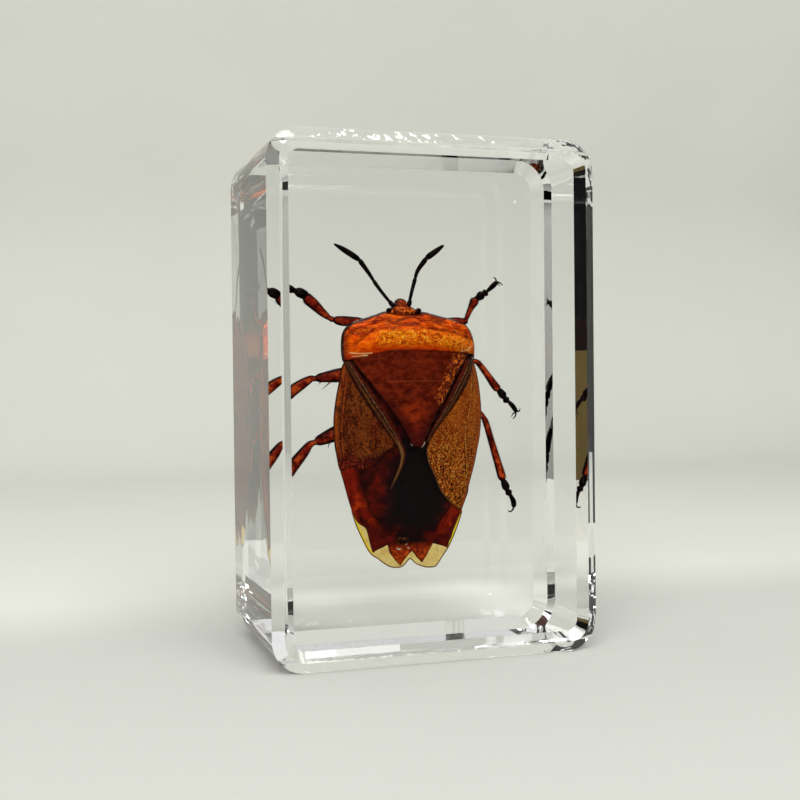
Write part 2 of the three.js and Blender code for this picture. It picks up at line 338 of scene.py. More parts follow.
# %% Lines and distances
def rounded_line(points, step, closed=True, sharp=False):
    """Evenly spaced points along a smooth or straight line."""
    p = np.asarray(points, float)
    if sharp:
        dense = np.vstack([p, p[:1]]) if closed else p
    else:
        count = len(p)
        pieces = []
        for i in range(count if closed else count - 1):
            if closed:
                a, b, c, d = p[i - 1], p[i], p[(i + 1) % count], p[(i + 2) % count]
            else:
                a, b, c, d = p[max(i - 1, 0)], p[i], p[i + 1], p[min(i + 2, count - 1)]
            t = np.linspace(0, 1, 12, endpoint=False)[:, None]
            pieces.append(0.5 * (2 * b + (c - a) * t + (2 * a - 5 * b + 4 * c - d) * t ** 2
                                 + (3 * b - a - 3 * c + d) * t ** 3))
        dense = np.vstack(pieces + [p[:1] if closed else p[-1:]])
    lengths = np.linalg.norm(np.diff(dense, axis=0), axis=1)
    along = np.concatenate([[0], np.cumsum(lengths)])
    number = max(int(round(along[-1] / step)), 3)
    places = np.linspace(0, along[-1], number + (0 if closed else 1), endpoint=not closed)
    if sharp:
        places = np.unique(np.concatenate([places, along[:-1] if closed else along]))
        keep = np.concatenate([[True], np.diff(places) > 0.2 * step])
        places = places[keep]
    return np.column_stack([np.interp(places, along, dense[:, k]) for k in range(dense.shape[1])])


def distance_to(line, x, z, closed=False):
    """Distance of each point to a broken line."""
    line = np.asarray(line, float)
    ends = np.roll(line, -1, axis=0) if closed else line[1:]
    starts = line if closed else line[:-1]
    best = np.full(len(x), 1e9)
    for (ax, az), (bx, bz) in zip(starts[:, :2], ends[:, :2]):
        length = max((bx - ax) ** 2 + (bz - az) ** 2, 1e-12)
        t = np.clip(((x - ax) * (bx - ax) + (z - az) * (bz - az)) / length, 0, 1)
        best = np.minimum(best, np.hypot(x - ax - t * (bx - ax), z - az - t * (bz - az)))
    return best


def inside(line, x, z):
    result = np.zeros(len(x), bool)
    for (ax, az), (bx, bz) in zip(line, np.roll(line, -1, axis=0)):
        crosses = (az > z) != (bz > z)
        at = ax + (z - az) * (bx - ax) / np.where(bz == az, 1e-12, bz - az)
        result ^= crosses & (x < at)
    return result


print("a line of 3 points becomes", len(rounded_line([(0, 0), (1, 1), (2, 0)], 0.2)), "points")

# %% [markdown]
# A plate starts as an outline in width and height. The outline is rounded,
# filled with evenly spaced points and triangles, pressed onto the swelling
# and given a thickness with softly turned edges. Carving each plate by hand
# would leave gaps between them. Each point also stores how far it is from the
# outline, which the finishes use for dark borders: partly the plates' own dark
# rims, partly painted shade in the gaps between plates.

# %% Plate maker
def plate(name, outline, material, lift=0.2, thick=0.3, step=0.2, turn=0.3,
          sharp=False, relief=None, marks=None, rest=None):
    edge = rounded_line(outline, step, sharp=sharp)
    low, high = edge.min(0), edge.max(0)
    columns = np.arange(low[0], high[0], step)
    rows = np.arange(low[1], high[1], step * 0.87)
    grid_x, grid_z = np.meshgrid(columns, rows)
    x, z = (grid_x + (np.arange(len(rows)) % 2)[:, None] * step / 2).ravel(), grid_z.ravel()
    keep = inside(edge, x, z)
    x, z = x[keep], z[keep]
    keep = distance_to(edge, x, z, closed=True) > 0.55 * step
    x, z = x[keep], z[keep]
    points = [Vector(p) for p in edge] + [Vector(p) for p in zip(x, z)]
    ring = [(i, (i + 1) % len(edge)) for i in range(len(edge))]
    found = delaunay_2d_cdt(points, ring, [], 1, 1e-6)
    flat = np.array([tuple(p) for p in found[0]])
    triangles = [tuple(t) for t in found[2]]
    x, z = flat[:, 0], flat[:, 1]
    away = distance_to(edge, x, z, closed=True)
    rounded = np.sqrt(np.clip(1 - (1 - np.clip(away / turn, 0, 1)) ** 2, 0, 1))
    ground = BUG_Y - (rest(x, z) if rest else back_rise(x, z))
    front = ground - lift + 0.5 * thick * (1 - rounded)
    if relief:
        front = front - relief(x, z, away) * np.clip(away / (0.5 * turn), 0, 1)
    back = ground - lift + thick - 0.5 * thick * (1 - rounded) * 0.98
    number = len(flat)
    vertices = np.vstack([np.column_stack([x, front, z]), np.column_stack([x, back, z])])
    faces = []
    used = {}
    for a, b, c in triangles:
        area = (x[b] - x[a]) * (z[c] - z[a]) - (x[c] - x[a]) * (z[b] - z[a])
        if area < 0:
            b, c = c, b
        faces.append((a, b, c))
        faces.append((a + number, c + number, b + number))
        used.update(dict.fromkeys(((a, b), (b, c), (c, a))))
    for start, end in used:
        if (end, start) not in used:
            faces.append((end, start, start + number, end + number))
    stored = {"edge_mm": np.tile(away, 2)}
    for key, rule in (marks or {}).items():
        stored[key] = np.tile(rule(x, z), 2)
    piece = make_mesh(name, vertices, faces, material, marks=stored)
    return piece

# %% [markdown]
# Veins, seams and scratches all run along lines on a plate. A ridge raises the
# plate itself beside such a line. A mark only stores the distance to it, so
# that a finish can colour a hair-fine line without any extra triangles.

# %% Ridges and marks along lines
def ridges(lines, width, height):
    """Relief of raised veins along some lines."""
    def rule(x, z, away):
        total = np.zeros(len(x))
        for line in lines:
            smooth = rounded_line(line, 0.4, closed=False)
            total = np.maximum(total, height * np.exp(-(distance_to(smooth, x, z) / width) ** 2))
        return total
    return rule


def along_lines(lines):
    """Mark with the distance to the nearest of some lines."""
    def rule(x, z):
        smooth = [rounded_line(line, 0.4, closed=False) for line in lines]
        return np.min([distance_to(line, x, z) for line in smooth], axis=0)
    return rule


here = along_lines([[(0, 0), (0, 5)]])(np.array([3.0]), np.array([2.0]))
print("a point 3 mm beside a line is marked", here[0])

# %% [markdown]
# The abdomen is mottled brown below. Its upper side, which lies bare between
# the worn wings, is maroon with a nearly black middle. A drawn edge there
# would look cut out, so the finish softens the distance to the middle's
# outline with a cloudy noise.

# %% Finish of the abdomen
CORE = [(-1.87, 24.8), (0.9, 24.6), (1.3, 22.6), (1.9, 20.7), (2.7, 18.9), (2.7, 16.4), (1.2, 14.6),
        (-1.6, 14.5), (-3.2, 16.4), (-3.1, 19.5), (-1.89, 22.7)]


def belly_finish():
    finish = Finish("belly_cuticle")
    mottle = finish.noise(1.6, 5.0, 0.6, (1, 1, 2.2))
    fine = finish.noise(0.22, 3.0)
    finish.colour = finish.ramp(mottle, (0.28, srgb(0.16, 0.05, 0.02)),
                                (0.5, srgb(0.42, 0.14, 0.03)), (0.72, srgb(0.62, 0.27, 0.06)))
    clouds = finish.noise(2.0, 5.0, 0.65)
    maroon = finish.ramp(clouds, (0.36, srgb(0.09, 0.025, 0.025)), (0.55, srgb(0.24, 0.045, 0.025)),
                         (0.72, srgb(0.42, 0.08, 0.03)))
    core = finish.sums("ADD", finish.mark("core_mm"), finish.times(clouds, 1.6))
    back = finish.mix(finish.rise(core, 0.1, 3.0), srgb(0.085, 0.055, 0.06), maroon)
    below = finish.rise(finish.axis("Y"), BUG_Y - 0.3, BUG_Y + 0.5)
    finish.colour = finish.mix(below, back, finish.colour)
    finish.bump(fine, 0.03)
    return finish.cuticle(finish.rise(mottle, 0.3, 0.7, 0.25, 0.5))


belly_cuticle = belly_finish()
print("abdomen finish has", len(belly_cuticle.node_tree.nodes), "nodes")

# %% [markdown]
# The abdomen and thorax are one closed shell. On the belly side the rings of
# the abdomen show as shallow grooves, and the keel along the middle is a low
# ridge. A sculpted ball would need many touch-ups, so the shell is a stack of
# closed rings whose half-width, height and depth are read from short tables.

# %% Abdomen and thorax
BELLY = np.array([(11.9, 0.7), (14.5, 1.7), (18.5, 2.6), (23.0, 3.2), (28.0, 3.6), (32.5, 3.7),
                  (36.5, 3.3), (38.6, 2.5), (40.2, 1.4)])
SEGMENT_HEIGHTS = (14.6, 17.4, 20.4, 23.6, 27.0, 30.6, 34.6)


def build_abdomen():
    heights = np.linspace(12.7, 40.2, 180)
    sides = 128
    angles = 2 * np.pi * np.arange(sides) / sides
    vertices = []
    for z in heights:
        left, right = edges_at(np.array(z))
        middle, half = (left + right) / 2, (right - left) / 2 - 0.12
        close = np.clip((z - 12.7) / 1.4, 0, 1) ** 0.5
        half = half * (0.55 + 0.45 * close)
        rise = np.interp(z, BACK_RISE[:, 0], BACK_RISE[:, 1]) - 0.1
        drop = np.interp(z, BELLY[:, 0], BELLY[:, 1])
        groove = sum(math.exp(-((z - s) / 0.16) ** 2) for s in SEGMENT_HEIGHTS if z < 33)
        x = middle + half * np.cos(angles)
        lower = np.sin(angles) > 0
        swell = np.abs(np.sin(angles)) ** 1.1
        keel = 0.18 * np.exp(-((x - middle) / 0.7) ** 2) * (z < 32)
        across = np.clip(np.abs(x - middle) / half, 0, 1)
        top = rise * (1 - across ** 2.3) ** 0.75
        y = np.where(lower, drop * swell * (1 - 0.035 * groove) + keel * swell, -top)
        vertices += [(a, BUG_Y + b, z) for a, b in zip(x, y)]
    faces = ringed_faces(len(heights), sides)
    place = np.array(vertices)
    core = distance_to(CORE, place[:, 0], place[:, 2], closed=True)
    core = np.where(inside(CORE, place[:, 0], place[:, 2]), -core, core)
    return make_mesh("abdomen", vertices, faces, belly_cuticle, marks={"core_mm": core})


abdomen = build_abdomen()
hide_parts("shield_bug")
print("abdomen from", abdomen.bound_box[0][2], "to", abdomen.bound_box[6][2], "m")

# %% [markdown]
# Along both sides of the abdomen runs a flattened margin, the connexivum. It
# is red-orange and each segment ends in a dark line. It shows as two long
# stripes beside the black middle. As a plate of its own it keeps a crisp edge,
# while marks along its seams and inner side give the soft dark parts.

# %% Side margins of the abdomen
def margin_finish():
    finish = Finish("margin_cuticle")
    grain = finish.noise(0.8, 4.0, 0.6, (1.6, 1, 0.6), 25)
    finish.colour = finish.ramp(grain, (0.3, srgb(0.32, 0.045, 0.015)),
                                (0.5, srgb(0.48, 0.09, 0.02)), (0.72, srgb(0.6, 0.15, 0.03)))
    seams = finish.rise(finish.mark("seam_mm"), 0.02, 0.14, 0.55, 0.0)
    finish.tint(srgb(0.24, 0.04, 0.015), seams)
    warm = finish.rise(finish.noise(1.1, 3.0), 0.52, 0.66)
    warm = finish.times(warm, finish.rise(finish.axis("Z"), 20.0, 17.5, 0.0, 1.0))
    finish.tint(srgb(0.8, 0.25, 0.04), warm, 0.6)
    # dark border: partly the plate's own rim, partly painted shade in the gap beside it
    border = finish.rise(finish.mark("edge_mm"), 0.02, 0.2, 0.75, 0.0)
    finish.tint(srgb(0.2, 0.03, 0.015), border)
    inner = finish.sums("ADD", finish.mark("inner_mm"),
                        finish.times(finish.noise(0.7, 4.0, 0.65), 0.8))
    share = finish.rise(finish.axis("X"), 0.0, 1.0, 0.95, 0.5)
    share = finish.times(share, finish.rise(inner, 0.35, 1.35, 1.0, 0.0))
    finish.tint(srgb(0.24, 0.045, 0.02), share)
    under = finish.rise(finish.sums("ADD", finish.axis("Z"), grain), 16.3, 14.6, 0.0, 1.0)
    under = finish.times(under, finish.rise(finish.axis("X"), 0.0, 1.0, 0.9, 0.1))
    finish.tint(srgb(0.22, 0.035, 0.02), under)
    finish.bump(finish.noise(0.25, 3.0), 0.03)
    return finish.cuticle(0.32)


margin = margin_finish()
inner_left_side = [(-7.5, 22.3), (-7.3, 21.2), (-6.95, 19.7), (-6.3, 17.9), (-5.6, 16.4),
                   (-4.9, 15.4), (-4.15, 14.4)]
inner_right_side = [(2.12, 13.91), (2.67, 15.05), (3.36, 15.92), (4.06, 16.92), (5.0, 19.0)]
seams_left = [[(-9.6, 20.3), (-7.0, 20.9)], [(-8.9, 17.6), (-6.2, 18.2)],
              [(-7.5, 14.6), (-4.6, 15.2)]]
plate("margin_left",
      [(-9.5, 22.3), (-9.42, 21.5), (-9.08, 20.3), (-8.76, 19.1), (-8.35, 17.6), (-7.95, 16.5),
       (-7.55, 15.6), (-7.1, 15.1), (-6.4, 14.6), (-5.6, 13.0), (-4.9, 12.6), (-4.0, 13.1),
       (-4.15, 14.4), (-4.9, 15.4), (-5.6, 16.4), (-6.3, 17.9), (-6.95, 19.7), (-7.3, 21.2),
       (-7.5, 22.3)], margin, lift=0.16, thick=0.2,
      marks={"seam_mm": along_lines(seams_left), "inner_mm": along_lines([inner_left_side])})
seams_right = [[(3.2, 15.2), (6.2, 14.8)], [(3.9, 17.6), (6.6, 17.2)]]
plate("margin_right",
      [(6.6, 19.0), (5.85, 16.7), (5.25, 15.3), (4.6, 13.9), (4.0, 12.6), (2.4, 12.7), (1.7, 13.0),
       (2.12, 13.91), (2.67, 15.05), (3.36, 15.92), (4.06, 16.92), (5.0, 19.0)], margin, lift=0.16,
      thick=0.2,
      marks={"seam_mm": along_lines(seams_right), "inner_mm": along_lines([inner_right_side])})

# %% [markdown]
# The last segment is a dark plate with a corner lobe on each side and two
# pointed teeth between them. Its borders are nearly black. The teeth could be
# painted on a round plate, but they are its outline here, with sharp corners,
# because the light of the room shows between them.

# %% Last segment with its teeth
def end_finish():
    finish = Finish("last_segment_cuticle")
    grain = finish.noise(0.9, 4.0, 0.6)
    dark = finish.ramp(grain, (0.3, srgb(0.2, 0.035, 0.025)), (0.7, srgb(0.42, 0.075, 0.03)))
    flakes = finish.noise(0.45, 4.0, 0.7)
    tooth = finish.ramp(flakes, (0.34, srgb(0.26, 0.06, 0.02)), (0.5, srgb(0.62, 0.19, 0.04)),
                        (0.68, srgb(0.86, 0.38, 0.08)))
    middle = finish.sums("ADD", finish.axis("X"), finish.times(finish.noise(0.7, 4.0, 0.7), 2.4))
    middle = finish.window(middle, -1.6, 2.2, 0.6)
    middle = finish.times(middle, finish.rise(finish.axis("Z"), 12.2, 13.0))
    dark = finish.mix(middle, dark, srgb(0.1, 0.03, 0.025))
    low = finish.window(finish.axis("X"), -3.6, 1.9, 0.3)
    low = finish.times(low, finish.rise(finish.axis("Z"), 11.5, 12.9, 1.0, 0.0))
    finish.colour = finish.mix(low, dark, tooth)
    # dark border: partly the plate's own rim, partly painted shade in the gap beside it
    border = finish.rise(finish.mark("outer_mm"), 0.03, 0.17, 1.0, 0.0)
    finish.tint(srgb(0.09, 0.02, 0.012), border)
    lens = finish.rise(finish.mark("lens_mm"), 0.05, 0.5, 1.0, 0.0)
    finish.tint(srgb(0.1, 0.03, 0.02), lens, 0.9)
    ring = finish.window(finish.mark("lens_mm"), 0.26, 0.44, 0.1)
    ring = finish.times(ring, finish.rise(finish.noise(0.3, 3.0), 0.42, 0.6, 0.1, 0.7))
    finish.tint(srgb(0.45, 0.24, 0.08), ring)
    # painted highlights: small white sparks on the last segment
    spark = finish.rise(finish.mark("spark_mm"), 0.01, 0.09, 1.0, 0.0)
    finish.tint(srgb(1.0, 0.93, 0.85), spark)
    finish.bump(finish.noise(0.3, 3.0), 0.05)
    return finish.cuticle(0.3)


lobes = [(-7.43, 16.14), (-7.05, 15.36), (-6.5, 15.11), (-6.21, 14.06), (-5.9, 12.77),
         (-5.59, 11.68), (-4.73, 12.14), (-3.8, 12.56), (-3.54, 11.57), (-2.89, 10.71),
         (-2.21, 9.97), (-1.62, 10.77), (-1.01, 11.5), (-0.72, 11.68), (-0.22, 10.95), (0.51, 10.2),
         (1.0, 10.88), (1.89, 12.48), (2.91, 12.17), (3.83, 11.83), (4.29, 13.29), (4.71, 14.57),
         (5.13, 15.52), (5.76, 16.08), (4.9, 15.9), (4.2, 14.6), (3.2, 13.6), (1.6, 13.9),
         (0.0, 14.3), (-1.0, 14.1), (-2.6, 14.3), (-3.8, 13.4), (-4.6, 13.6), (-5.3, 14.3),
         (-6.2, 15.6), (-7.0, 16.3)]
# lines of the painted white sparks on the last segment
sparks = [[(-2.7, 12.1), (-2.45, 11.98), (-2.2, 12.05)], [(-1.35, 12.15), (-1.15, 12.05)],
          [(-1.6, 12.5), (-1.5, 12.6)]]
bulge = [(-2.3, 13.0), (-2.0, 12.85), (-1.7, 12.95)]
plate("last_segment", lobes, end_finish(), lift=0.26, thick=0.35, step=0.13, sharp=True, turn=0.2,
      relief=ridges([bulge], 0.35, 0.25),
      marks={"outer_mm": along_lines([lobes[:24]]), "spark_mm": along_lines(sparks),
             "lens_mm": along_lines([bulge])})

# %% [markdown]
# The thin ends of the fore wings, the membranes, reach past the abdomen on
# all sides. They are stiff pale-yellow films, so the light of the room shows
# through them between the dark lobes and teeth. A see-through alpha would lose
# their body, so they are thin closed plates with plain transmission and an IOR
# only a little above 1, as resin lies on both sides of them.

# %% Wing membranes
def film_finish():
    finish = Finish("wing_membrane")
    clouds = finish.noise(1.3, 4.0, 0.6, (1, 1, 0.7))
    finish.colour = finish.ramp(clouds, (0.35, srgb(0.86, 0.72, 0.42)),
                                (0.65, srgb(0.95, 0.86, 0.56)))
    side = finish.window(finish.axis("X"), -5.6, 3.9, 0.25)
    side = finish.sums("ADD", side, finish.rise(finish.mark("edge_mm"), 0.22, 0.34))
    finish.colour = finish.mix(side, srgb(0.95, 0.82, 0.22), finish.colour)
    finish.bump(finish.noise(0.35, 3.0), 0.02)
    finish.set(Base_Color=finish.colour, Roughness=finish.rise(clouds, 0.3, 0.7, 0.1, 0.25),
               IOR=1.03)
    finish.set(Transmission_Weight=1.0)
    return finish.material


wing_edge = [(-9.0, 20.3), (-8.6, 18.9), (-8.1, 16.9), (-7.53, 15.04), (-6.72, 13.23),
             (-5.85, 11.65), (-4.97, 10.99), (-4.19, 10.38), (-3.4, 9.91), (-2.34, 9.78),
             (-1.74, 10.05), (-0.99, 10.78), (-0.33, 10.23), (0.34, 9.88), (1.14, 9.63),
             (2.22, 9.66), (2.75, 10.25), (3.22, 10.9), (3.85, 11.74), (4.55, 13.07), (5.25, 14.71),
             (5.78, 16.24)]
film_line = wing_edge + [(5.2, 17.2), (4.2, 15.2), (3.2, 13.4), (1.6, 12.9), (-1.0, 12.2),
                         (-3.2, 12.9), (-5.0, 13.4), (-5.8, 14.8), (-6.8, 16.6), (-7.6, 18.8),
                         (-8.3, 20.2)]
plate("wing_membranes", film_line, film_finish(), lift=0.02, thick=0.07, turn=0.08, step=0.2)

# %% [markdown]
# Two leathery half-wings, the coria, cover the sides. Both have a cloudy base,
# golden grain, dark specks, one vein and a paler outer stripe, in other shares
# and colours. One function makes what they have in common, and each wing then
# adds its own marks, which is shorter and keeps the pair alike.

# %% Finish of the leathery fore wings
GRAIN = 0.2


def corium_finish(name, base, middle, gold, speck, low_grain, high_grain):
    finish = Finish(name)
    broad = finish.noise(1.7, 5.0, 0.62, (1, 1, 0.6))
    grain = finish.cells(GRAIN, (1, 1, 0.85))
    fine = finish.noise(0.19, 2.5, 0.6, (1, 1, 0.85))
    finish.colour = finish.ramp(broad, (0.32, base), (0.64, middle))
    share = finish.rise(finish.axis("Z"), 22.0, 27.5, low_grain, high_grain)
    glow = finish.times(finish.rise(fine, 0.5, 0.62), share)
    finish.tint(gold, glow)
    specks = finish.noise(0.23, 2.5, 0.65, (1.1, 1, 0.8))
    specks = finish.times(finish.rise(specks, 0.49, 0.58), share)
    finish.tint(speck, specks)
    stripe = finish.rise(finish.mark("outer_mm"), 0.25, 0.6, 1.0, 0.0)
    stripe = finish.times(stripe, finish.rise(fine, 0.4, 0.6, 0.45, 0.85))
    finish.tint(srgb(0.68, 0.3, 0.06), stripe)
    vein = finish.rise(finish.mark("vein_mm"), 0.03, 0.1, 0.75, 0.0)
    finish.tint(gold, vein, finish.rise(fine, 0.4, 0.5))
    beside = finish.window(finish.mark("vein_mm"), 0.12, 0.22, 0.05)
    finish.tint(speck, beside, 0.5)
    return finish, grain, fine


def finish_corium(finish, grain, fine, rim_share=0.95):
    # dark border: partly the plate's own rim, partly painted shade in the gap beside it
    rim_line = finish.rise(finish.mark("edge_mm"), 0.04, 0.22, 1.0, 0.0)
    finish.tint(srgb(0.12, 0.03, 0.015), rim_line, rim_share)
    finish.bump(grain, 0.06)
    finish.bump(fine, 0.06)
    return finish.cuticle(finish.rise(fine, 0.35, 0.65, 0.25, 0.45))


print("wing grain", GRAIN, "mm")

# %% [markdown]
# The left wing is mottled brown and worn. Its lower end frays red and turns
# dark over the abdomen. The frayed end is a zigzag outline, and noise pushed
# into the height where it turns dark hides any straight line.

# %% Left fore wing
left_vein = [(-8.5, 33.6), (-8.95, 30.5), (-9.3, 27.0), (-9.2, 24.0), (-8.95, 22.1)]
left_outer = [(-8.9, 34.2), (-9.61, 31.41), (-10.08, 28.75), (-10.2, 26.7), (-10.1, 24.68),
              (-9.86, 23.17), (-9.55, 21.72)]
left_line = left_outer + [(-9.0, 21.6), (-8.5, 21.95), (-7.97, 21.75), (-7.5, 22.1), (-7.06, 21.57),
                          (-6.65, 22.0), (-6.27, 21.75), (-5.61, 22.3), (-5.3, 22.1), (-4.82, 22.9),
                          (-4.02, 23.63), (-3.0, 24.4), (-3.9, 25.9), (-4.9, 27.3), (-6.0, 28.9),
                          (-7.1, 30.6), (-8.0, 32.2)]
finish, grain, fine = corium_finish(
    "left_corium_cuticle", srgb(0.34, 0.08, 0.02), srgb(0.46, 0.24, 0.07), srgb(0.66, 0.27, 0.07),
    srgb(0.13, 0.03, 0.02), 0.7, 0.6)
blotches = finish.rise(finish.noise(0.8, 5.0, 0.7, (1.3, 1, 0.6), 25), 0.5, 0.58)
finish.tint(srgb(0.16, 0.035, 0.02), blotches, 0.7)
worn = finish.sums("ADD", finish.axis("Z"), finish.times(finish.noise(1.1, 5.0, 0.7), 3.0))
finish.tint(srgb(0.2, 0.04, 0.03), finish.rise(worn, 24.1, 25.2, 0.9, 0.0))
frayed = finish.rise(finish.axis("Z"), 21.6, 24.0, 1.0, 0.0)
frayed = finish.times(frayed, finish.rise(finish.noise(0.28, 4.0, 0.7), 0.5, 0.6))
frayed = finish.times(frayed, finish.rise(finish.axis("X"), -7.0, -4.6, 1.0, 0.25))
finish.tint(srgb(0.66, 0.2, 0.08), frayed)
shade = finish.times(finish.rise(finish.axis("X"), -6.2, -4.0),
                     finish.rise(finish.axis("Z"), 24.5, 22.8, 0, 1))
finish.tint(srgb(0.16, 0.04, 0.03), shade)
whole = finish.rise(finish.axis("Z"), 22.6, 23.8, 0.0, 0.95)
plate("corium_left", left_line, finish_corium(finish, grain, fine, whole), lift=0.34, thick=0.3,
      step=0.17, relief=ridges([left_vein], 0.12, 0.08),
      marks={"vein_mm": along_lines([left_vein]), "outer_mm": along_lines([left_outer])})

# %% [markdown]
# The right wing is whole. It is amber, and its lower half is golden grain
# peppered with black specks inside a hair-fine pale edge. The pale edge is a
# mark along the inner side, so it needs no strip of its own.

# %% Right fore wing
right_vein = [(6.9, 33.0), (6.75, 30.2), (6.35, 27.8), (5.9, 25.75), (6.05, 23.6), (6.2, 20.8),
              (5.95, 18.6)]
right_outer = [(7.5, 34.0), (8.0, 31.87), (8.3, 29.11), (8.3, 27.2), (8.1, 25.2), (7.75, 23.5),
               (7.4, 21.9), (6.88, 20.08), (6.31, 18.16), (5.78, 16.6)]
right_inner = [(5.4, 16.36), (4.22, 17.08), (3.34, 18.01), (2.61, 18.94), (1.82, 20.71),
               (1.13, 22.1), (0.83, 23.4), (0.91, 24.2)]
right_line = [(7.2, 34.2)] + right_outer + right_inner + [
    (1.2, 25.0), (2.1, 26.4), (3.3, 27.8), (4.6, 29.4), (5.7, 31.0), (6.7, 32.8)]
finish, grain, fine = corium_finish(
    "right_corium_cuticle", srgb(0.5, 0.16, 0.02), srgb(0.66, 0.31, 0.05), srgb(0.88, 0.6, 0.22),
    srgb(0.2, 0.08, 0.02), 1.0, 0.45)
pale = finish.window(finish.mark("inner_mm"), 0.03, 0.12, 0.03)
finish.tint(srgb(0.86, 0.68, 0.42), pale, 0.75)
plate("corium_right", right_line, finish_corium(finish, grain, fine), lift=0.34, thick=0.3,
      step=0.17, relief=ridges([right_vein], 0.12, 0.08),
      marks={"vein_mm": along_lines([right_vein]), "outer_mm": along_lines([right_outer]),
             "inner_mm": along_lines([right_inner])})

# %% [markdown]
# Between each corium and the big triangular shield lies the clavus, a narrow
# strip that folds along the shield. It is striped lengthwise, dark and olive,
# with hair-fine pale lines. The left one curls free at its lower end. The
# stripes could be many thin strips, but a mark that runs from 0 at the outer
# side to 1 at the inner side lets one ramp draw them all, however it bends.

# %% Clavus strips
def clavus_finish():
    finish = Finish("clavus_cuticle")
    dark, olive = srgb(0.15, 0.05, 0.03), srgb(0.36, 0.22, 0.09)
    pale, brown = srgb(0.66, 0.54, 0.36), srgb(0.36, 0.11, 0.05)
    wobble = finish.times(finish.noise(0.9, 3.0), 0.2)
    place = finish.sums("ADD", finish.mark("across"), finish.sums("SUBTRACT", wobble, 0.1))
    finish.colour = finish.ramp(place, (0.0, dark), (0.08, dark), (0.2, olive), (0.32, olive),
                                (0.42, dark), (0.53, dark), (0.57, pale), (0.61, dark),
                                (0.74, brown), (0.86, brown), (1.0, dark))
    streaks = finish.rise(finish.noise(0.3, 4.0, 0.65, (1.3, 1, 0.6), 32), 0.45, 0.6)
    finish.tint(dark, streaks, 0.7)
    rusty = finish.rise(finish.noise(0.4, 4.0, 0.65), 0.52, 0.64)
    finish.tint(srgb(0.5, 0.18, 0.06), rusty, 0.5)
    tail = finish.rise(finish.axis("Z"), 25.4, 24.2, 0.0, 1.0)
    tail = finish.times(tail, finish.window(finish.mark("across"), 0.28, 0.62, 0.12))
    finish.tint(srgb(0.52, 0.38, 0.2), tail, 0.75)
    finish.bump(finish.noise(0.25, 3.0, 0.6, (2, 1, 0.7), 30), 0.04)
    return finish.cuticle(0.34)


def across_strip(outer, inner):
    def rule(x, z):
        a = distance_to(np.array(outer), x, z)
        b = distance_to(np.array(inner), x, z)
        return a / np.maximum(a + b, 1e-6)
    return rule


clavus = clavus_finish()
outer_left = [(-8.95, 34.3), (-7.99, 32.32), (-6.91, 30.31), (-5.82, 28.56), (-4.45, 26.52),
              (-3.4, 25.1), (-2.85, 24.2), (-2.45, 23.1), (-2.65, 21.9), (-3.1, 20.7),
              (-3.56, 19.4)]
inner_left = [(-8.2, 34.5), (-7.0, 32.6), (-5.8, 30.9), (-4.75, 29.3), (-3.7, 27.7), (-2.9, 26.3),
              (-2.3, 25.0), (-1.85, 23.9), (-1.78, 23.0), (-2.15, 21.8), (-2.75, 20.6),
              (-3.5, 19.35)]
plate("clavus_left", outer_left + inner_left[::-1], clavus, lift=0.42, thick=0.26, step=0.15,
      turn=0.2, marks={"across": across_strip(outer_left, inner_left)})
outer_right = [(7.1, 34.2), (6.89, 32.98), (5.56, 30.94), (4.53, 29.32), (3.21, 27.71),
               (1.91, 26.2), (1.1, 24.9)]
inner_right = [(6.1, 34.5), (5.3, 33.0), (4.2, 31.1), (3.15, 29.2), (2.15, 27.4), (1.3, 25.9),
               (0.85, 24.8)]
plate("clavus_right", outer_right + inner_right[::-1], clavus, lift=0.42, thick=0.26, step=0.15,
      turn=0.2, marks={"across": across_strip(outer_right, inner_right)})

# %% [markdown]
# The scutellum is the large triangular shield in the middle of the back. It
# is smooth, deep red-brown, and lighter towards its point. Its right margin
# is crumpled and catches the light like gold leaf. That light is painted:
# gold highlights on the crumple crests and shade in the pits between them. A
# relief that fades away from the fold gives the crumpled skin without a
# heavy mesh.

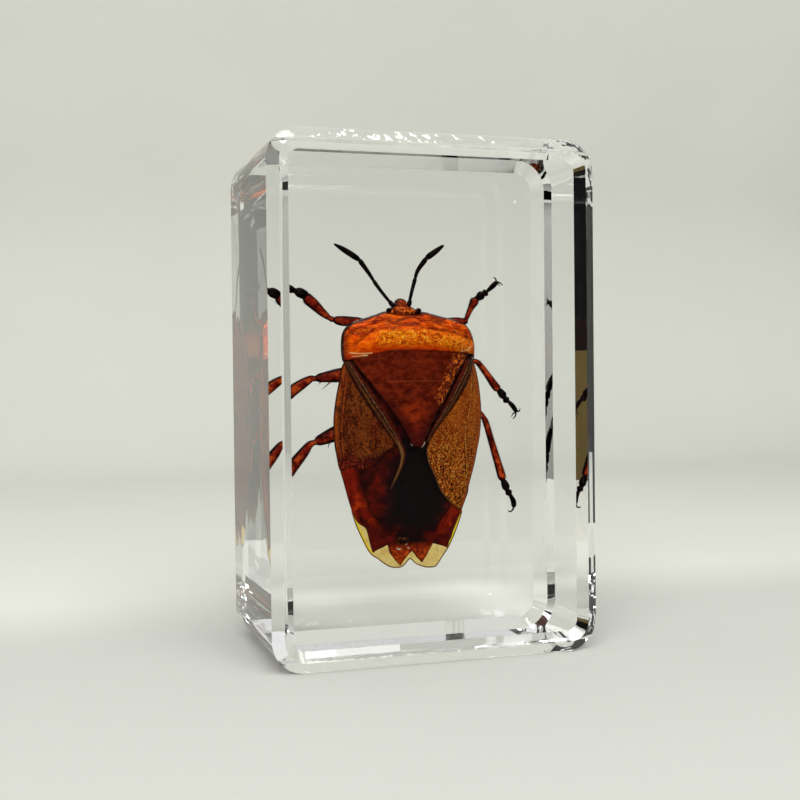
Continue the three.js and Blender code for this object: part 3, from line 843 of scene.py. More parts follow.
# %% Triangular shield
def shield_finish():
    finish = Finish("shield_cuticle")
    broad = finish.noise(0.9, 6.0, 0.72, (0.8, 1, 1.2))
    finish.colour = finish.ramp(broad, (0.34, srgb(0.24, 0.055, 0.025)),
                                (0.5, srgb(0.38, 0.1, 0.03)), (0.66, srgb(0.52, 0.16, 0.045)))
    warm = finish.times(finish.spot(-0.9, 28.2, 1.3, 1.1, 1.1), finish.rise(broad, 0.38, 0.6))
    finish.tint(srgb(0.62, 0.19, 0.05), warm, 0.7)
    tip = finish.rise(finish.axis("Z"), 27.2, 25.4, 0.0, 1.0)
    finish.tint(srgb(0.36, 0.07, 0.05), tip, 0.7)
    sides = finish.rise(finish.mark("edge_mm"), 0.5, 1.5, 1.0, 0.0)
    sides = finish.times(sides, finish.rise(finish.axis("Z"), 31.0, 29.5, 0.0, 1.0))
    finish.tint(srgb(0.2, 0.04, 0.035), sides, 0.65)
    cross = finish.window(finish.axis("Z"), 31.95, 32.05, 0.1)
    cross = finish.times(cross, finish.window(finish.axis("X"), -4.2, 2.6, 1.2))
    finish.tint(srgb(0.72, 0.33, 0.16), cross, 0.35)
    crumple = finish.noise(0.42, 4.0, 0.7, (1.2, 1, 0.7), 30, 1.1)
    fold = finish.rise(finish.mark("fold_mm"), 0.35, 1.3, 1.0, 0.0)
    finish.tint(srgb(0.4, 0.12, 0.035), fold, 0.75)
    # painted highlight: gold on the crests of the crumpled fold
    gold = finish.times(fold, finish.rise(crumple, 0.51, 0.58))
    finish.tint(srgb(1.0, 0.5, 0.13), gold)
    # painted shade in the pits of the crumpled fold
    pit_shade = finish.times(fold, finish.rise(crumple, 0.36, 0.44, 1.0, 0.0))
    finish.tint(srgb(0.14, 0.03, 0.02), pit_shade)
    # dark border: partly the plate's own rim, partly painted shade in the gap beside it
    border = finish.rise(finish.mark("edge_mm"), 0.04, 0.28, 1.0, 0.0)
    finish.tint(srgb(0.1, 0.02, 0.012), border, 0.85)
    # painted highlights: two small white glints near the point
    glint = finish.rise(finish.mark("glint_mm"), 0.07, 0.16, 1.0, 0.0)
    finish.tint(srgb(1.0, 0.93, 0.82), glint)
    finish.bump(finish.noise(0.3, 3.0), 0.03)
    finish.bump(finish.times(crumple, fold), 0.35)
    return finish.cuticle(finish.rise(broad, 0.3, 0.7, 0.22, 0.36))


shield = [(-8.25, 34.9), (-7.5, 33.6), (-6.83, 32.71), (-5.74, 31.36), (-4.65, 29.88),
          (-3.55, 28.39), (-2.45, 26.89), (-1.6, 25.38), (-1.1, 24.45), (-0.3, 24.0), (0.45, 24.32),
          (0.95, 25.59), (1.81, 27.34), (2.68, 28.95), (3.71, 30.83), (4.74, 32.73), (5.99, 34.6),
          (6.1, 35.3), (2.6, 35.75), (-3.6, 35.85), (-8.0, 35.4)]
fold_line = [(5.3, 34.9), (4.5, 33.5), (3.7, 31.9), (2.8, 30.1)]
tip_glints = [[(-1.62, 24.95), (-1.4, 24.6), (-1.05, 24.35)],
              [(0.3, 24.2), (0.5, 24.4), (0.6, 24.7)]]
plate("scutellum", shield, shield_finish(), lift=0.62, thick=0.5, step=0.15, turn=0.45,
      marks={"fold_mm": along_lines([fold_line]), "glint_mm": along_lines(tip_glints)})

# %% [markdown]
# The pronotum is the broad collar behind the head. It is bright orange and
# glassy, streaked in front and finely wrinkled across the middle, where the
# wrinkles glitter. The glitter is painted light: the wrinkled band is painted a
# brighter orange with two brighter spots, and the same wrinkle noise paints
# shade into the pits and gold highlights onto the crests and raises them,
# because on real skin the glitter sits on the relief.

# %% Finish of the collar
def collar_finish():
    finish = Finish("collar_cuticle")
    streaks = finish.noise(0.6, 6.0, 0.7, (0.45, 1, 1.7), -14, 0.5)
    finish.colour = finish.ramp(streaks, (0.34, srgb(0.58, 0.12, 0.005)),
                                (0.47, srgb(0.92, 0.31, 0.005)), (0.62, srgb(1.0, 0.47, 0.01)))
    rear = finish.rise(finish.mark("band_mm"), -1.7, -1.0, 1.0, 0.0)
    finish.tint(srgb(0.76, 0.17, 0.015), rear, 0.8)
    front = finish.rise(finish.mark("band_mm"), 0.55, 0.95)
    coarse = finish.noise(0.8, 7.0, 0.78, (0.45, 1, 1.5), -14, 0.4)
    brown = finish.times(front, finish.rise(coarse, 0.42, 0.6, 0.9, 0.0))
    finish.tint(srgb(0.36, 0.075, 0.02), brown)
    ends = finish.sums("ADD", finish.rise(finish.axis("X"), -9.0, -8.0, 1.0, 0.0),
                       finish.rise(finish.axis("X"), 6.4, 7.3))
    finish.tint(srgb(0.42, 0.07, 0.02), ends, 0.7)
    wrinkle = finish.noise(0.33, 3.0, 0.62, (0.8, 1, 1.15), -12, 1.3)
    # painted highlight: the wrinkled band across the swelling is painted a brighter orange
    band = finish.window(finish.mark("band_mm"), -0.95, 0.7, 0.3)
    band = finish.times(band, finish.window(finish.axis("X"), -5.4, 6.8, 0.7))
    finish.tint(srgb(1.0, 0.4, 0.015), band, 0.75)
    # painted highlight: two brighter spots on the band
    glow = finish.sums("ADD", finish.spot(-2.7, 37.5, 1.3, 0.6, 0.9),
                       finish.spot(4.3, 36.5, 2.0, 0.6, 1.2))
    glow = finish.times(glow, band)
    finish.tint(srgb(1.0, 0.56, 0.04), glow, 0.7)
    # painted shade in the pits of the wrinkles
    pit_shade = finish.times(band, finish.rise(wrinkle, 0.4, 0.46, 1.0, 0.0))
    finish.tint(srgb(0.56, 0.13, 0.005), pit_shade, 0.9)
    # painted highlights: gold glitter on the wrinkle crests, with a paler sheen on their tops
    gold = finish.times(band, finish.rise(wrinkle, 0.53, 0.58))
    finish.tint(srgb(1.0, 0.64, 0.04), gold)
    shine = finish.times(band, finish.rise(wrinkle, 0.6, 0.65))
    finish.tint(srgb(1.0, 0.86, 0.3), shine)
    # painted shade along the two grooves
    groove = finish.sums("ADD", finish.mark("groove_mm"), finish.times(coarse, 0.5))
    groove = finish.rise(groove, 0.25, 0.5, 0.6, 0.0)
    finish.tint(srgb(0.36, 0.08, 0.02), groove)
    # dark border: partly the plate's own rim, partly painted shade in the gap beside it
    border = finish.rise(finish.mark("edge_mm"), 0.1, 0.38, 1.0, 0.0)
    finish.tint(srgb(0.08, 0.015, 0.008), border)
    # painted highlights: thin bright streaks along the glint lines
    glint = finish.rise(finish.mark("glint_mm"), 0.03, 0.1, 1.0, 0.0)
    finish.tint(srgb(1.0, 0.88, 0.6), glint)
    finish.bump(finish.times(wrinkle, band), 0.3)
    finish.bump(streaks, 0.06)
    return finish.cuticle(finish.rise(streaks, 0.3, 0.7, 0.18, 0.34))


collar_cuticle = collar_finish()
print("collar finish has", len(collar_cuticle.node_tree.nodes), "nodes")

# %% [markdown]
# The collar is the thickest plate, with a low swelling across its middle and
# a shallow groove from each front corner inwards. Both are real relief, as
# they shape the outline of the highlights. Thin bright streaks near the rear
# edge are painted highlights, stored as marks.

# %% Collar
collar = [(-3.88, 40.29), (-4.99, 39.93), (-5.97, 39.62), (-7.08, 39.24), (-7.91, 38.9),
          (-8.6, 38.41), (-9.02, 37.77), (-9.19, 36.98), (-9.23, 35.92), (-9.16, 35.0),
          (-8.95, 34.35), (-8.1, 34.45), (-6.6, 34.75), (-5.0, 35.15), (-3.51, 35.4), (-0.13, 35.4),
          (2.72, 35.3), (4.88, 35.18), (6.19, 35.1), (7.0, 34.9), (7.38, 34.7), (7.5, 35.86),
          (7.42, 36.68), (7.1, 37.71), (6.59, 38.53), (5.86, 39.03), (4.93, 39.37), (3.49, 39.68),
          (2.06, 40.02), (0.77, 40.25), (-0.08, 40.1), (-1.64, 40.0), (-3.04, 40.15)]
grooves = [[(-8.0, 36.2), (-6.9, 37.1), (-5.6, 38.2)], [(6.6, 36.6), (5.5, 37.6), (4.3, 38.6)]]
glints = [[(-8.5, 35.45), (-7.6, 35.3), (-5.9, 35.32)],
          [(-8.2, 34.98), (-7.2, 34.98), (-6.4, 35.08)], [(5.2, 35.5), (5.9, 35.62), (6.5, 35.72)],
          [(6.3, 35.95), (6.8, 36.05)]]


def band_height(x, z):
    return z - (37.35 - 0.018 * (x + 1.0) ** 2 - 0.02 * (x + 1.0))


def collar_relief(x, z, away):
    swell = 0.3 * np.exp(-(band_height(x, z) / 1.6) ** 2)
    groove = 0.22 * np.exp(-(along_lines(grooves)(x, z) / 0.25) ** 2)
    return swell - groove


plate("pronotum", collar, collar_cuticle, lift=0.75, thick=0.8, step=0.17, turn=0.7,
      relief=collar_relief,
      marks={"groove_mm": along_lines(grooves), "band_mm": band_height,
             "glint_mm": along_lines(glints)})

# %% [markdown]
# The head is a small rounded wedge set into the collar, with a golden nape
# whose bright specks are partly painted highlights, and a band of painted
# shade where it meets the collar. It is a thick plate like the others, but it
# rests on a slope of its own instead of the swelling, so that it droops
# towards the front as on the insect.

# %% Head
def head_finish():
    finish = Finish("head_cuticle")
    grain = finish.noise(0.35, 4.0, 0.65, (1, 1, 1.2), 20, 0.8)
    finish.colour = finish.ramp(grain, (0.34, srgb(0.18, 0.04, 0.015)),
                                (0.5, srgb(0.46, 0.13, 0.03)), (0.66, srgb(0.76, 0.31, 0.08)))
    nape = finish.window(finish.axis("Z"), 39.9, 40.75, 0.15)
    # gold specks on the nape: partly its own colour, partly painted highlights
    gold = finish.times(nape, finish.rise(grain, 0.48, 0.58))
    finish.tint(srgb(0.95, 0.47, 0.12), gold, 0.7)
    # painted shade: a dark band where the head meets the collar
    neck_shade = finish.window(finish.axis("Z"), 39.4, 39.85, 0.08)
    finish.tint(srgb(0.2, 0.04, 0.02), neck_shade, 0.8)
    # dark border: partly the plate's own rim, partly painted shade in the gap beside it
    border = finish.rise(finish.mark("edge_mm"), 0.08, 0.36, 1.0, 0.0)
    finish.tint(srgb(0.06, 0.015, 0.01), border)
    finish.bump(grain, 0.12)
    return finish.cuticle(0.28)


head_line = [(-3.75, 40.15), (-3.35, 40.6), (-2.95, 40.9), (-2.72, 41.15), (-2.6, 41.5),
             (-2.25, 41.78), (-1.85, 41.86), (-1.4, 41.75), (-1.12, 41.45), (-1.0, 41.1),
             (-0.72, 40.9), (-0.3, 40.65), (0.15, 40.3), (0.1, 39.95), (-0.6, 39.7), (-1.6, 39.55),
             (-2.8, 39.7), (-3.6, 39.9)]
plate("head", head_line, head_finish(), lift=0.7, thick=1.9, step=0.1, turn=0.8,
      rest=lambda x, z: np.interp(z, [39.0, 40.5, 42.0], [1.7, 1.3, 0.55]))

# %% [markdown]
# The eyes are two dark beads at the sides of the head. A ball helper makes
# them, and later also the knees and the joints of feelers and feet. Eyes,
# feelers and feet share one black finish, as they are the same bare cuticle.

# %% Eyes
def black_finish():
    finish = Finish("black_cuticle")
    grain = finish.noise(0.3, 3.0)
    finish.colour = finish.ramp(grain, (0.4, srgb(0.03, 0.018, 0.018)),
                                (0.8, srgb(0.12, 0.045, 0.03)))
    finish.bump(finish.noise(0.12, 3.0), 0.03)
    return finish.cuticle(finish.rise(grain, 0.3, 0.7, 0.3, 0.45))


black = black_finish()


def ball(centre, radii, sides=40):
    """Vertices and faces of an ellipsoid in millimetres."""
    rows = sides // 2
    (x, y, z), (wide, deep, high) = centre, radii
    vertices = [(x, y, z + high)]
    for i in range(1, rows):
        polar = math.pi * i / rows
        for k in range(sides):
            turn = 2 * math.pi * k / sides
            vertices.append((x + wide * math.sin(polar) * math.cos(turn),
                             y + deep * math.sin(polar) * math.sin(turn),
                             z + high * math.cos(polar)))
    vertices.append((x, y, z - high))
    faces = []
    last = 1 + (rows - 2) * sides
    for k in range(sides):
        faces.append((0, 1 + k, 1 + (k + 1) % sides))
        faces.append((len(vertices) - 1, last + (k + 1) % sides, last + k))
    for i in range(rows - 2):
        for k in range(sides):
            a, b = 1 + i * sides + k, 1 + i * sides + (k + 1) % sides
            faces.append((a, a + sides, b + sides, b))
    return vertices, faces


for side, x in (("left", -3.5), ("right", 0.16)):
    shape = ball((x, BUG_Y - 1.55, 40.38), (0.36, 0.4, 0.3))
    eye = make_mesh("eye_" + side, *shape, black)

# %% [markdown]
# Limbs are tubes swept along a smooth path, thicker where the muscle is and
# pinched at every joint. Curves with a bevel could do this too, but a mesh
# made point by point can be flattened, ends round and needs no conversion.
# Everything that belongs to one limb is gathered in one mesh.

# %% Limb maker
def tube(path, sides=20, step=0.12, flat=1.0):
    """A closed tube with rounded ends through points (x, y, z, radius)."""
    line = rounded_line(path, step, closed=False)
    centre, radius = line[:, :3], line[:, 3].copy()
    along = np.concatenate([[0], np.cumsum(np.linalg.norm(np.diff(centre, axis=0), axis=1))])
    for end in (along, along[-1] - along):
        radius *= np.sqrt(np.clip(1 - (1 - np.clip(end / np.maximum(radius, 0.02), 0, 1)) ** 2,
                                  0.02, 1))
    ahead = np.gradient(centre, axis=0)
    ahead /= np.linalg.norm(ahead, axis=1)[:, None]
    side = np.cross(ahead, (0, 1, 0))
    side /= np.linalg.norm(side, axis=1)[:, None]
    up = np.cross(side, ahead)
    turns = 2 * np.pi * np.arange(sides) / sides
    vertices = []
    for c, r, s, u in zip(centre, radius, side, up):
        for t in turns:
            vertices.append(tuple(c + r * (math.cos(t) * s + flat * math.sin(t) * u)))
    return vertices, ringed_faces(len(centre), sides, outward=False)


def spine(base, tip, radius):
    """A thin cone between two points."""
    return tube([(*base, radius), (*((np.array(base) + tip) / 2), radius * 0.6),
                 (*tip, radius * 0.12)], sides=6, step=0.08)


def gathered(name, shapes, material):
    vertices, faces = [], []
    for some_vertices, some_faces in shapes:
        start = len(vertices)
        vertices += list(some_vertices)
        faces += [tuple(start + i for i in face) for face in some_faces]
    piece = make_mesh(name, vertices, faces, material)


print("one spine has", len(spine((0, 0, 0), (0, 0, 1), 0.1)[1]), "faces")

# %% [markdown]
# A hair-fine brown vein runs around the free edge of the wing membranes. It
# keeps the film taut on the living insect. It is a thin tube along the same
# points as the film's outline, so the two can't drift apart.

# %% Vein around the membranes
def vein_finish():
    finish = Finish("wing_vein")
    grain = finish.noise(0.5, 3.0)
    finish.bump(grain, 0.02)
    finish.colour = finish.ramp(grain, (0.35, srgb(0.3, 0.15, 0.05)), (0.65, srgb(0.5, 0.3, 0.12)))
    return finish.cuticle(0.4)


vein_path = [(x, float(BUG_Y - back_rise(x, z)) + 0.01, z, 0.07) for x, z in wing_edge[2:]]
gathered("wing_vein", [tube(vein_path, sides=10, step=0.15)], vein_finish())

# %% [markdown]
# The feelers have a short thick root, two slender joints and a long tapering
# end joint. They are black all over. Each joint is a tube with its own path,
# and a small ball fills every bend, which one long tube would only kink.

# %% Antennae
def antenna(name, joints):
    shapes = []
    for joint in joints:
        shapes.append(tube([(x, BUG_Y + y, z, r) for x, y, z, r in joint], sides=18, step=0.1))
    for joint in joints[1:]:
        x, y, z, r = joint[0]
        shapes.append(ball((x, BUG_Y + y, z), (0.9 * r,) * 3, 16))
    gathered(name, shapes, black)


antenna("antenna_left", [
    [(-2.75, -1.3, 40.85, 0.24), (-3.1, -1.2, 41.15, 0.3), (-3.4, -1.0, 41.6, 0.22)],
    [(-3.38, -1.0, 41.5, 0.2), (-4.4, -0.6, 42.85, 0.22), (-5.2, -0.4, 44.0, 0.25)],
    [(-5.15, -0.4, 43.95, 0.2), (-5.83, -0.5, 44.93, 0.25), (-6.9, -0.6, 46.35, 0.33)],
    [(-6.85, -0.6, 46.3, 0.25), (-7.51, -0.65, 46.72, 0.36), (-8.84, -0.75, 47.51, 0.32),
     (-9.98, -0.8, 48.13, 0.12)]])
antenna("antenna_right", [
    [(-1.05, -1.3, 40.8, 0.24), (-0.9, -1.2, 41.25, 0.3), (-0.78, -1.0, 41.75, 0.22)],
    [(-0.8, -1.0, 41.65, 0.2), (-0.37, -0.6, 43.0, 0.23), (0.04, -0.4, 44.3, 0.27)],
    [(0.02, -0.4, 44.25, 0.21), (0.37, -0.5, 45.26, 0.26), (1.42, -0.6, 46.65, 0.34)],
    [(1.35, -0.6, 46.6, 0.26), (1.75, -0.65, 46.92, 0.37), (2.66, -0.75, 47.57, 0.33),
     (3.6, -0.8, 48.27, 0.14)]])

# %% [markdown]
# The legs are red-brown and glassy, with nearly black sides. The black sides
# are painted shade: a tint by the way that the surface faces gives this dark
# edge on every tube, wherever the leg bends.

# %% Finish of the legs
def leg_finish():
    finish = Finish("leg_cuticle")
    grain = finish.noise(0.9, 4.0, 0.6)
    finish.colour = finish.ramp(grain, (0.34, srgb(0.2, 0.035, 0.02)), (0.5, srgb(0.46, 0.1, 0.03)),
                                (0.66, srgb(0.76, 0.3, 0.1)))
    turned = finish.node("ShaderNodeSeparateXYZ")
    finish.feed(turned.inputs[0], finish.node("ShaderNodeTexCoord").outputs["Normal"])
    # painted shade on the sides of each tube, which face away from the front
    sides = finish.rise(turned.outputs["Y"], -0.96, -0.7)
    finish.tint(srgb(0.05, 0.015, 0.015), sides)
    finish.bump(finish.noise(0.18, 3.0), 0.03)
    return finish.cuticle(finish.rise(grain, 0.3, 0.7, 0.24, 0.4))


leg_cuticle = leg_finish()
print("leg finish has", len(leg_cuticle.node_tree.nodes), "nodes")

# %% [markdown]
# Each leg has a strong thigh, a slightly flattened shin that widens to its
# end, a foot of knobbly black joints and two or three hooked claws. Rows of
# short bristles point down the shin, each turned a little at random, but from
# a fixed seed, so that the leg comes out the same every time.

# %% Leg maker
KNEE = 0.36


def leg(name, depth, thigh, shin, foot, claws, spines=()):
    def deep(points):
        return [(x, BUG_Y + depth, z, r) for x, z, r in points]

    shapes = [tube(deep(thigh), flat=0.8), tube(deep(shin), flat=0.75)]
    knee = shin[0]
    shapes.append(ball((knee[0], BUG_Y + depth, knee[1]), (KNEE, 0.32, KNEE), 20))
    for (ax, az), (bx, bz) in spines:
        shapes.append(spine((ax, BUG_Y + depth, az), (bx, BUG_Y + depth - 0.2, bz), 0.09))
    path = rounded_line(shin, 0.32, closed=False)
    for i, (x, z, r) in enumerate(path[2:-1]):
        ahead = path[i + 3] - path[i + 1]
        ahead = ahead[:2] / np.linalg.norm(ahead[:2])
        for sign in (-1, 1):
            out = np.array([-ahead[1], ahead[0]]) * sign
            start = np.array([x, z]) + out * (r - 0.05)
            end = start + out * 0.18 + ahead * (0.16 + 0.08 * rng.random())
            shapes.append(spine((start[0], BUG_Y + depth, start[1]),
                                (end[0], BUG_Y + depth, end[1]), 0.035))
    gathered(name, shapes, leg_cuticle)
    dark = [tube(deep(joint), flat=0.85, step=0.09) for joint in foot]
    for joint in foot:
        x, z, r = joint[0]
        dark.append(ball((x, BUG_Y + depth, z), (r, 0.85 * r, r), 16))
    for claw in claws:
        dark.append(tube(deep(claw), sides=10, step=0.06))
    gathered(name + "_foot", dark, black)


print("knees are", 2 * KNEE, "mm across")

# %% [markdown]
# The six legs leave the body one behind the other, each pair a little deeper.
# Every list holds places across and up, with the radius there. The right feet
# are spread before the window, while the left ones end behind the rim.

# %% Six legs
leg("leg_front_left", 1.6,
    [(-4.0, 37.6, 0.6), (-6.2, 38.9, 0.6), (-7.49, 39.15, 0.58), (-8.72, 39.21, 0.6),
     (-9.81, 39.38, 0.42)],
    [(-9.95, 39.42, 0.3), (-10.3, 39.6, 0.33), (-11.13, 40.26, 0.5), (-12.32, 41.37, 0.66),
     (-13.3, 42.1, 0.62)],
    [[(-12.7, 42.0, 0.45), (-13.6, 42.45, 0.6), (-14.4, 42.75, 0.45)],
     [(-14.3, 42.72, 0.35), (-15.2, 43.0, 0.5), (-15.9, 43.1, 0.35)],
     [(-15.8, 43.1, 0.22), (-16.6, 43.3, 0.34), (-17.3, 43.4, 0.28)]],
    [[(-17.2, 43.4, 0.12), (-17.6, 43.75, 0.09), (-17.65, 44.1, 0.04)],
     [(-17.2, 43.4, 0.12), (-17.75, 43.2, 0.09), (-18.0, 42.85, 0.04)]])
leg("leg_front_right", 1.6,
    [(1.5, 37.6, 0.6), (3.6, 38.8, 0.55), (5.2, 39.25, 0.45), (6.87, 39.25, 0.36)],
    [(6.8, 39.2, 0.3), (7.14, 39.99, 0.31), (7.54, 40.84, 0.4), (8.0, 41.65, 0.58),
     (8.25, 42.1, 0.5)],
    [[(8.3, 41.95, 0.4), (8.9, 42.4, 0.55), (9.3, 42.7, 0.42)],
     [(9.1, 42.55, 0.35), (9.45, 42.72, 0.5), (9.75, 42.95, 0.3)],
     [(9.65, 42.87, 0.2), (10.44, 43.56, 0.33), (11.0, 44.08, 0.28)]],
    [[(10.9, 44.1, 0.12), (10.8, 44.45, 0.09), (10.5, 44.68, 0.04)],
     [(10.95, 44.1, 0.12), (11.4, 43.95, 0.09), (11.75, 43.65, 0.05)],
     [(11.0, 43.95, 0.1), (11.2, 43.75, 0.07), (11.42, 43.55, 0.03)]])
leg("leg_middle_left", 2.2,
    [(-4.0, 32.4, 0.8), (-6.5, 32.9, 0.85), (-8.06, 32.93, 0.83), (-9.28, 32.77, 0.83),
     (-10.86, 32.58, 0.62), (-11.95, 32.44, 0.46)],
    [(-12.0, 32.44, 0.36), (-12.43, 32.42, 0.42), (-13.52, 31.81, 0.6), (-14.96, 30.84, 0.7),
     (-15.6, 30.1, 0.62)],
    [[(-15.3, 30.3, 0.4), (-16.0, 29.5, 0.55), (-16.4, 28.9, 0.42)],
     [(-16.3, 29.0, 0.3), (-16.8, 28.3, 0.45), (-17.1, 27.7, 0.32)],
     [(-17.0, 27.8, 0.2), (-17.5, 27.0, 0.33), (-17.8, 26.3, 0.28)]],
    [[(-17.8, 26.4, 0.12), (-18.1, 26.1, 0.09), (-18.15, 25.75, 0.04)],
     [(-17.8, 26.4, 0.12), (-17.6, 26.0, 0.09), (-17.3, 25.8, 0.04)]],
    [((-11.0, 32.2), (-11.66, 31.67)), ((-10.1, 32.0), (-11.24, 31.08))])
leg("leg_middle_right", 2.2,
    [(2.0, 32.4, 0.8), (4.5, 33.4, 0.75), (6.6, 34.0, 0.55), (8.1, 34.3, 0.38)],
    [(8.0, 34.35, 0.3), (8.6, 34.1, 0.36), (9.68, 32.76, 0.42), (10.58, 31.52, 0.5),
     (11.3, 30.7, 0.52)],
    [[(11.15, 30.9, 0.38), (11.76, 30.15, 0.52), (12.05, 29.75, 0.42)],
     [(11.95, 29.9, 0.34), (12.25, 29.5, 0.48), (12.5, 29.25, 0.3)],
     [(12.4, 29.45, 0.2), (13.07, 28.77, 0.32), (13.6, 28.0, 0.27)]],
    [[(13.55, 28.1, 0.12), (13.95, 28.15, 0.09), (14.05, 28.5, 0.04)],
     [(13.5, 28.0, 0.12), (13.4, 27.5, 0.09), (13.05, 27.15, 0.05)],
     [(13.4, 28.0, 0.1), (13.05, 27.75, 0.07), (12.9, 27.4, 0.03)]])
leg("leg_hind_left", 2.6,
    [(-4.0, 27.4, 0.8), (-6.5, 26.8, 0.9), (-8.51, 26.18, 0.92), (-9.37, 25.9, 0.95),
     (-10.95, 25.29, 0.74), (-12.05, 24.85, 0.48)],
    [(-12.0, 24.88, 0.38), (-12.65, 24.6, 0.44), (-13.38, 23.71, 0.62), (-14.84, 21.99, 0.74),
     (-15.5, 20.9, 0.66)],
    [[(-15.3, 21.2, 0.4), (-15.9, 20.0, 0.58), (-16.2, 19.2, 0.42)],
     [(-16.1, 19.4, 0.3), (-16.5, 18.5, 0.46), (-16.7, 17.8, 0.32)],
     [(-16.6, 17.9, 0.2), (-16.9, 17.0, 0.34), (-16.9, 16.2, 0.28)]],
    [[(-16.9, 16.3, 0.12), (-17.1, 15.9, 0.09), (-17.0, 15.6, 0.04)],
     [(-16.9, 16.3, 0.12), (-16.6, 15.95, 0.09), (-16.3, 15.9, 0.04)]],
    [((-10.2, 24.9), (-10.48, 24.1)), ((-10.9, 24.9), (-11.21, 24.47))])
leg("leg_hind_right", 2.6,
    [(2.0, 27.4, 0.8), (4.8, 27.0, 0.7), (7.0, 27.3, 0.5), (8.6, 27.93, 0.38), (9.2, 27.6, 0.36)],
    [(9.15, 27.6, 0.32), (9.6, 26.8, 0.4), (10.25, 24.63, 0.42), (11.01, 22.14, 0.48),
     (11.6, 20.2, 0.54), (11.8, 19.5, 0.46)],
    [[(11.75, 19.7, 0.36), (12.16, 18.77, 0.52), (12.35, 18.3, 0.42)],
     [(12.3, 18.4, 0.34), (12.55, 18.0, 0.47), (12.75, 17.65, 0.3)],
     [(12.65, 17.85, 0.22), (13.15, 16.9, 0.35), (13.18, 16.1, 0.32)]],
    [[(13.2, 16.2, 0.14), (12.95, 15.75, 0.1), (12.6, 15.65, 0.08), (12.42, 15.8, 0.04)]])

# %% [markdown]
# The beak that sucks sap lies folded back under the head, along the belly. It
# is jointed, so it is two tubes that meet at an elbow. Only the sides and the
# back of the block show it.

# %% Beak
gathered("beak",
         [tube([(-1.5, BUG_Y + 0.9, 40.9, 0.35), (-1.5, BUG_Y + 2.4, 39.6, 0.4),
                (-1.45, BUG_Y + 3.3, 38.0, 0.3)]),
          tube([(-1.45, BUG_Y + 3.25, 38.1, 0.24), (-1.4, BUG_Y + 3.95, 36.0, 0.24),
                (-1.3, BUG_Y + 4.05, 33.5, 0.12)])], leg_cuticle)

# %% [markdown]
# The block stands on a matte pale table that curves up into a wall, so that
# no edge shows behind it. The paper is a little darker in front, and paler
# just behind the block, where the resin gathers light on the table. That pale
# place stands in for focused light, which would take far more samples.

# %% Pale paper
def stage_finish():
    finish = Finish("pale_paper")
    cloud = finish.noise(60.0, 3.0)
    grain = finish.noise(0.6, 3.0)
    finish.colour = finish.ramp(cloud, (0.3, srgb(0.733, 0.736, 0.703)),
                                (0.7, srgb(0.743, 0.746, 0.713)))
    near = finish.rise(finish.axis("Y"), 10.0, 45.0, 1.0, 0.0)
    finish.tint(srgb(0.665, 0.667, 0.642), near)
    gathered_light = finish.times(finish.window(finish.axis("X"), -9.0, 27.0, 7.0),
                                  finish.window(finish.axis("Y"), 17.0, 46.0, 7.0))
    finish.tint(srgb(0.885, 0.888, 0.86), gathered_light)
    finish.bump(grain, 0.03)
    finish.set(Base_Color=finish.colour, Roughness=0.85)
    return finish.material


paper = stage_finish()
print("paper finish has", len(paper.node_tree.nodes), "nodes")

# %% [markdown]
# The table and the wall are one swept sheet. Clear resin also shows what stands
# beside the view, so pale cards at the sides keep its walls bright, the dark
# gaps between them draw its dark edges, and a brown card tints the right rim.

# %% Table, wall and cards
def stage_sheet(name, points, faces, material):
    mesh = bpy.data.meshes.new(name)
    mesh.from_pydata([tuple(MM * c for c in point) for point in points], [], faces)
    mesh.materials.append(material)
    sheet = bpy.data.objects.new(name, mesh)
    bpy.context.scene.collection.objects.link(sheet)
    print(name, "has", len(faces), "faces")
    return sheet


outline = [(-75, 0)]
for angle in range(0, 91, 5):
    turn = math.radians(angle)
    outline.append((250 + 120 * math.sin(turn), 120 - 120 * math.cos(turn)))
outline.append((370, 600))
sweep_points = [(x, y, z) for y, z in outline for x in (-350, 350)]
sweep_faces = [(2 * i, 2 * i + 1, 2 * i + 3, 2 * i + 2) for i in range(len(outline) - 1)]
stage_sheet("backdrop", sweep_points, sweep_faces, paper).data.shade_smooth()
for side, x, near, far in (("left", -350, 60, 220), ("front_left", -350, -230, -90),
                           ("right", 350, -130, 200)):
    card = [(x, near, -80), (x, far, -80), (x, far, 400), (x, near, 400)]
    stage_sheet("card_" + side, card, [(0, 1, 2, 3)], paper)
brown = Finish("brown_card")
brown.bump(brown.noise(2.0, 3.0), 0.1)
brown.colour = brown.ramp(brown.noise(20.0), (0.3, srgb(0.29, 0.235, 0.075)),
                          (0.7, srgb(0.33, 0.27, 0.1)))
brown.set(Base_Color=brown.colour, Roughness=0.9)
card = [(-180, 129, 0), (-143, 173, 0), (-143, 173, 40), (-180, 129, 40)]
stage_sheet("card_brown", card, [(0, 1, 2, 3)], brown.material)

# %% [markdown]
# A wide lamp above lights the table, and a large soft one in front of and
# above the block lights the bug's back through the window. Two weak lamps at
# the sides even out the wall. A small bright one is placed where the wavy top
# edge mirrors it, which breaks it into white sparks. The room itself is dark.

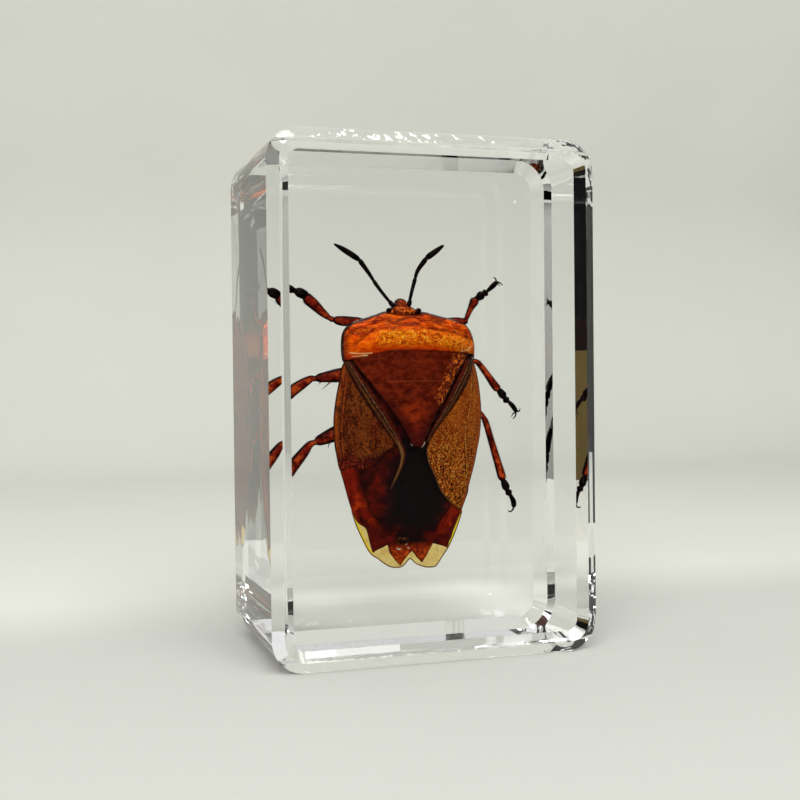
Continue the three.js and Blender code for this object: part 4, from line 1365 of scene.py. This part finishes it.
# %% Lamps
def lamp(name, place, target, size, power):
    light = bpy.data.lights.new(name, "AREA")
    light.size, light.energy = size, power
    thing = bpy.data.objects.new(name, light)
    thing.location = place
    thing.rotation_euler = (Vector(target) - Vector(place)).to_track_quat("-Z", "Y").to_euler()
    bpy.context.scene.collection.objects.link(thing)
    print(name, "gives", power, "W")


lamp("lamp_above", (0, 0, 0.6), (0, 0, 0), 0.9, 2.1)
lamp("lamp_front", (-0.08, -0.38, 0.44), (0, 0, 0.03), 0.5, 6.0)
lamp("lamp_right", (0.5, 0.1, 0.36), (0, 0.3, 0.12), 0.4, 1.0)
lamp("lamp_left", (-0.36, 0.3, 0.5), (0.05, 0.05, 0), 0.4, 0.5)
lamp("lamp_glint", (0.105, -0.15, 0.471), (0, 0, 0.06), 0.065, 0.13)
room = bpy.data.worlds.new("room")
room.use_nodes = True
room.node_tree.nodes["Background"].inputs[0].default_value = (0.007, 0.007, 0.007, 1)
bpy.context.scene.world = room
bpy.context.scene.view_settings.view_transform = "Standard"

# %% [markdown]
# The camera stands a little above the middle of the block and left of it, so
# the front window and the left wall both show. Its place and turn are given as
# an eye point and three angles, which are easier to read than a matrix.

# %% Camera
EYE = Vector((-45.47, FLAT_Y - 129.58, 32.53)) * MM
YAW, PITCH, ROLL = math.radians(17.522), math.radians(1.096), math.radians(-0.625)
forward = Vector((math.sin(YAW) * math.cos(PITCH), math.cos(YAW) * math.cos(PITCH),
                  -math.sin(PITCH)))
level = Vector((math.cos(YAW), -math.sin(YAW), 0))
upward = level.cross(forward)
right = math.cos(ROLL) * level + math.sin(ROLL) * upward
top = math.cos(ROLL) * upward - math.sin(ROLL) * level
lens = bpy.data.cameras.new("camera")
lens.sensor_width = 36
lens.lens = 54.51
lens.clip_start = 0.001
camera = bpy.data.objects.new("camera", lens)
bpy.context.scene.collection.objects.link(camera)
camera.matrix_world = Matrix(((right.x, top.x, -forward.x, EYE.x),
                              (right.y, top.y, -forward.y, EYE.y),
                              (right.z, top.z, -forward.z, EYE.z), (0, 0, 0, 1)))
bpy.context.scene.camera = camera
print("camera", round((EYE - Vector((0, FLAT_Y * MM, 0.03))).length, 3), "m from the window")
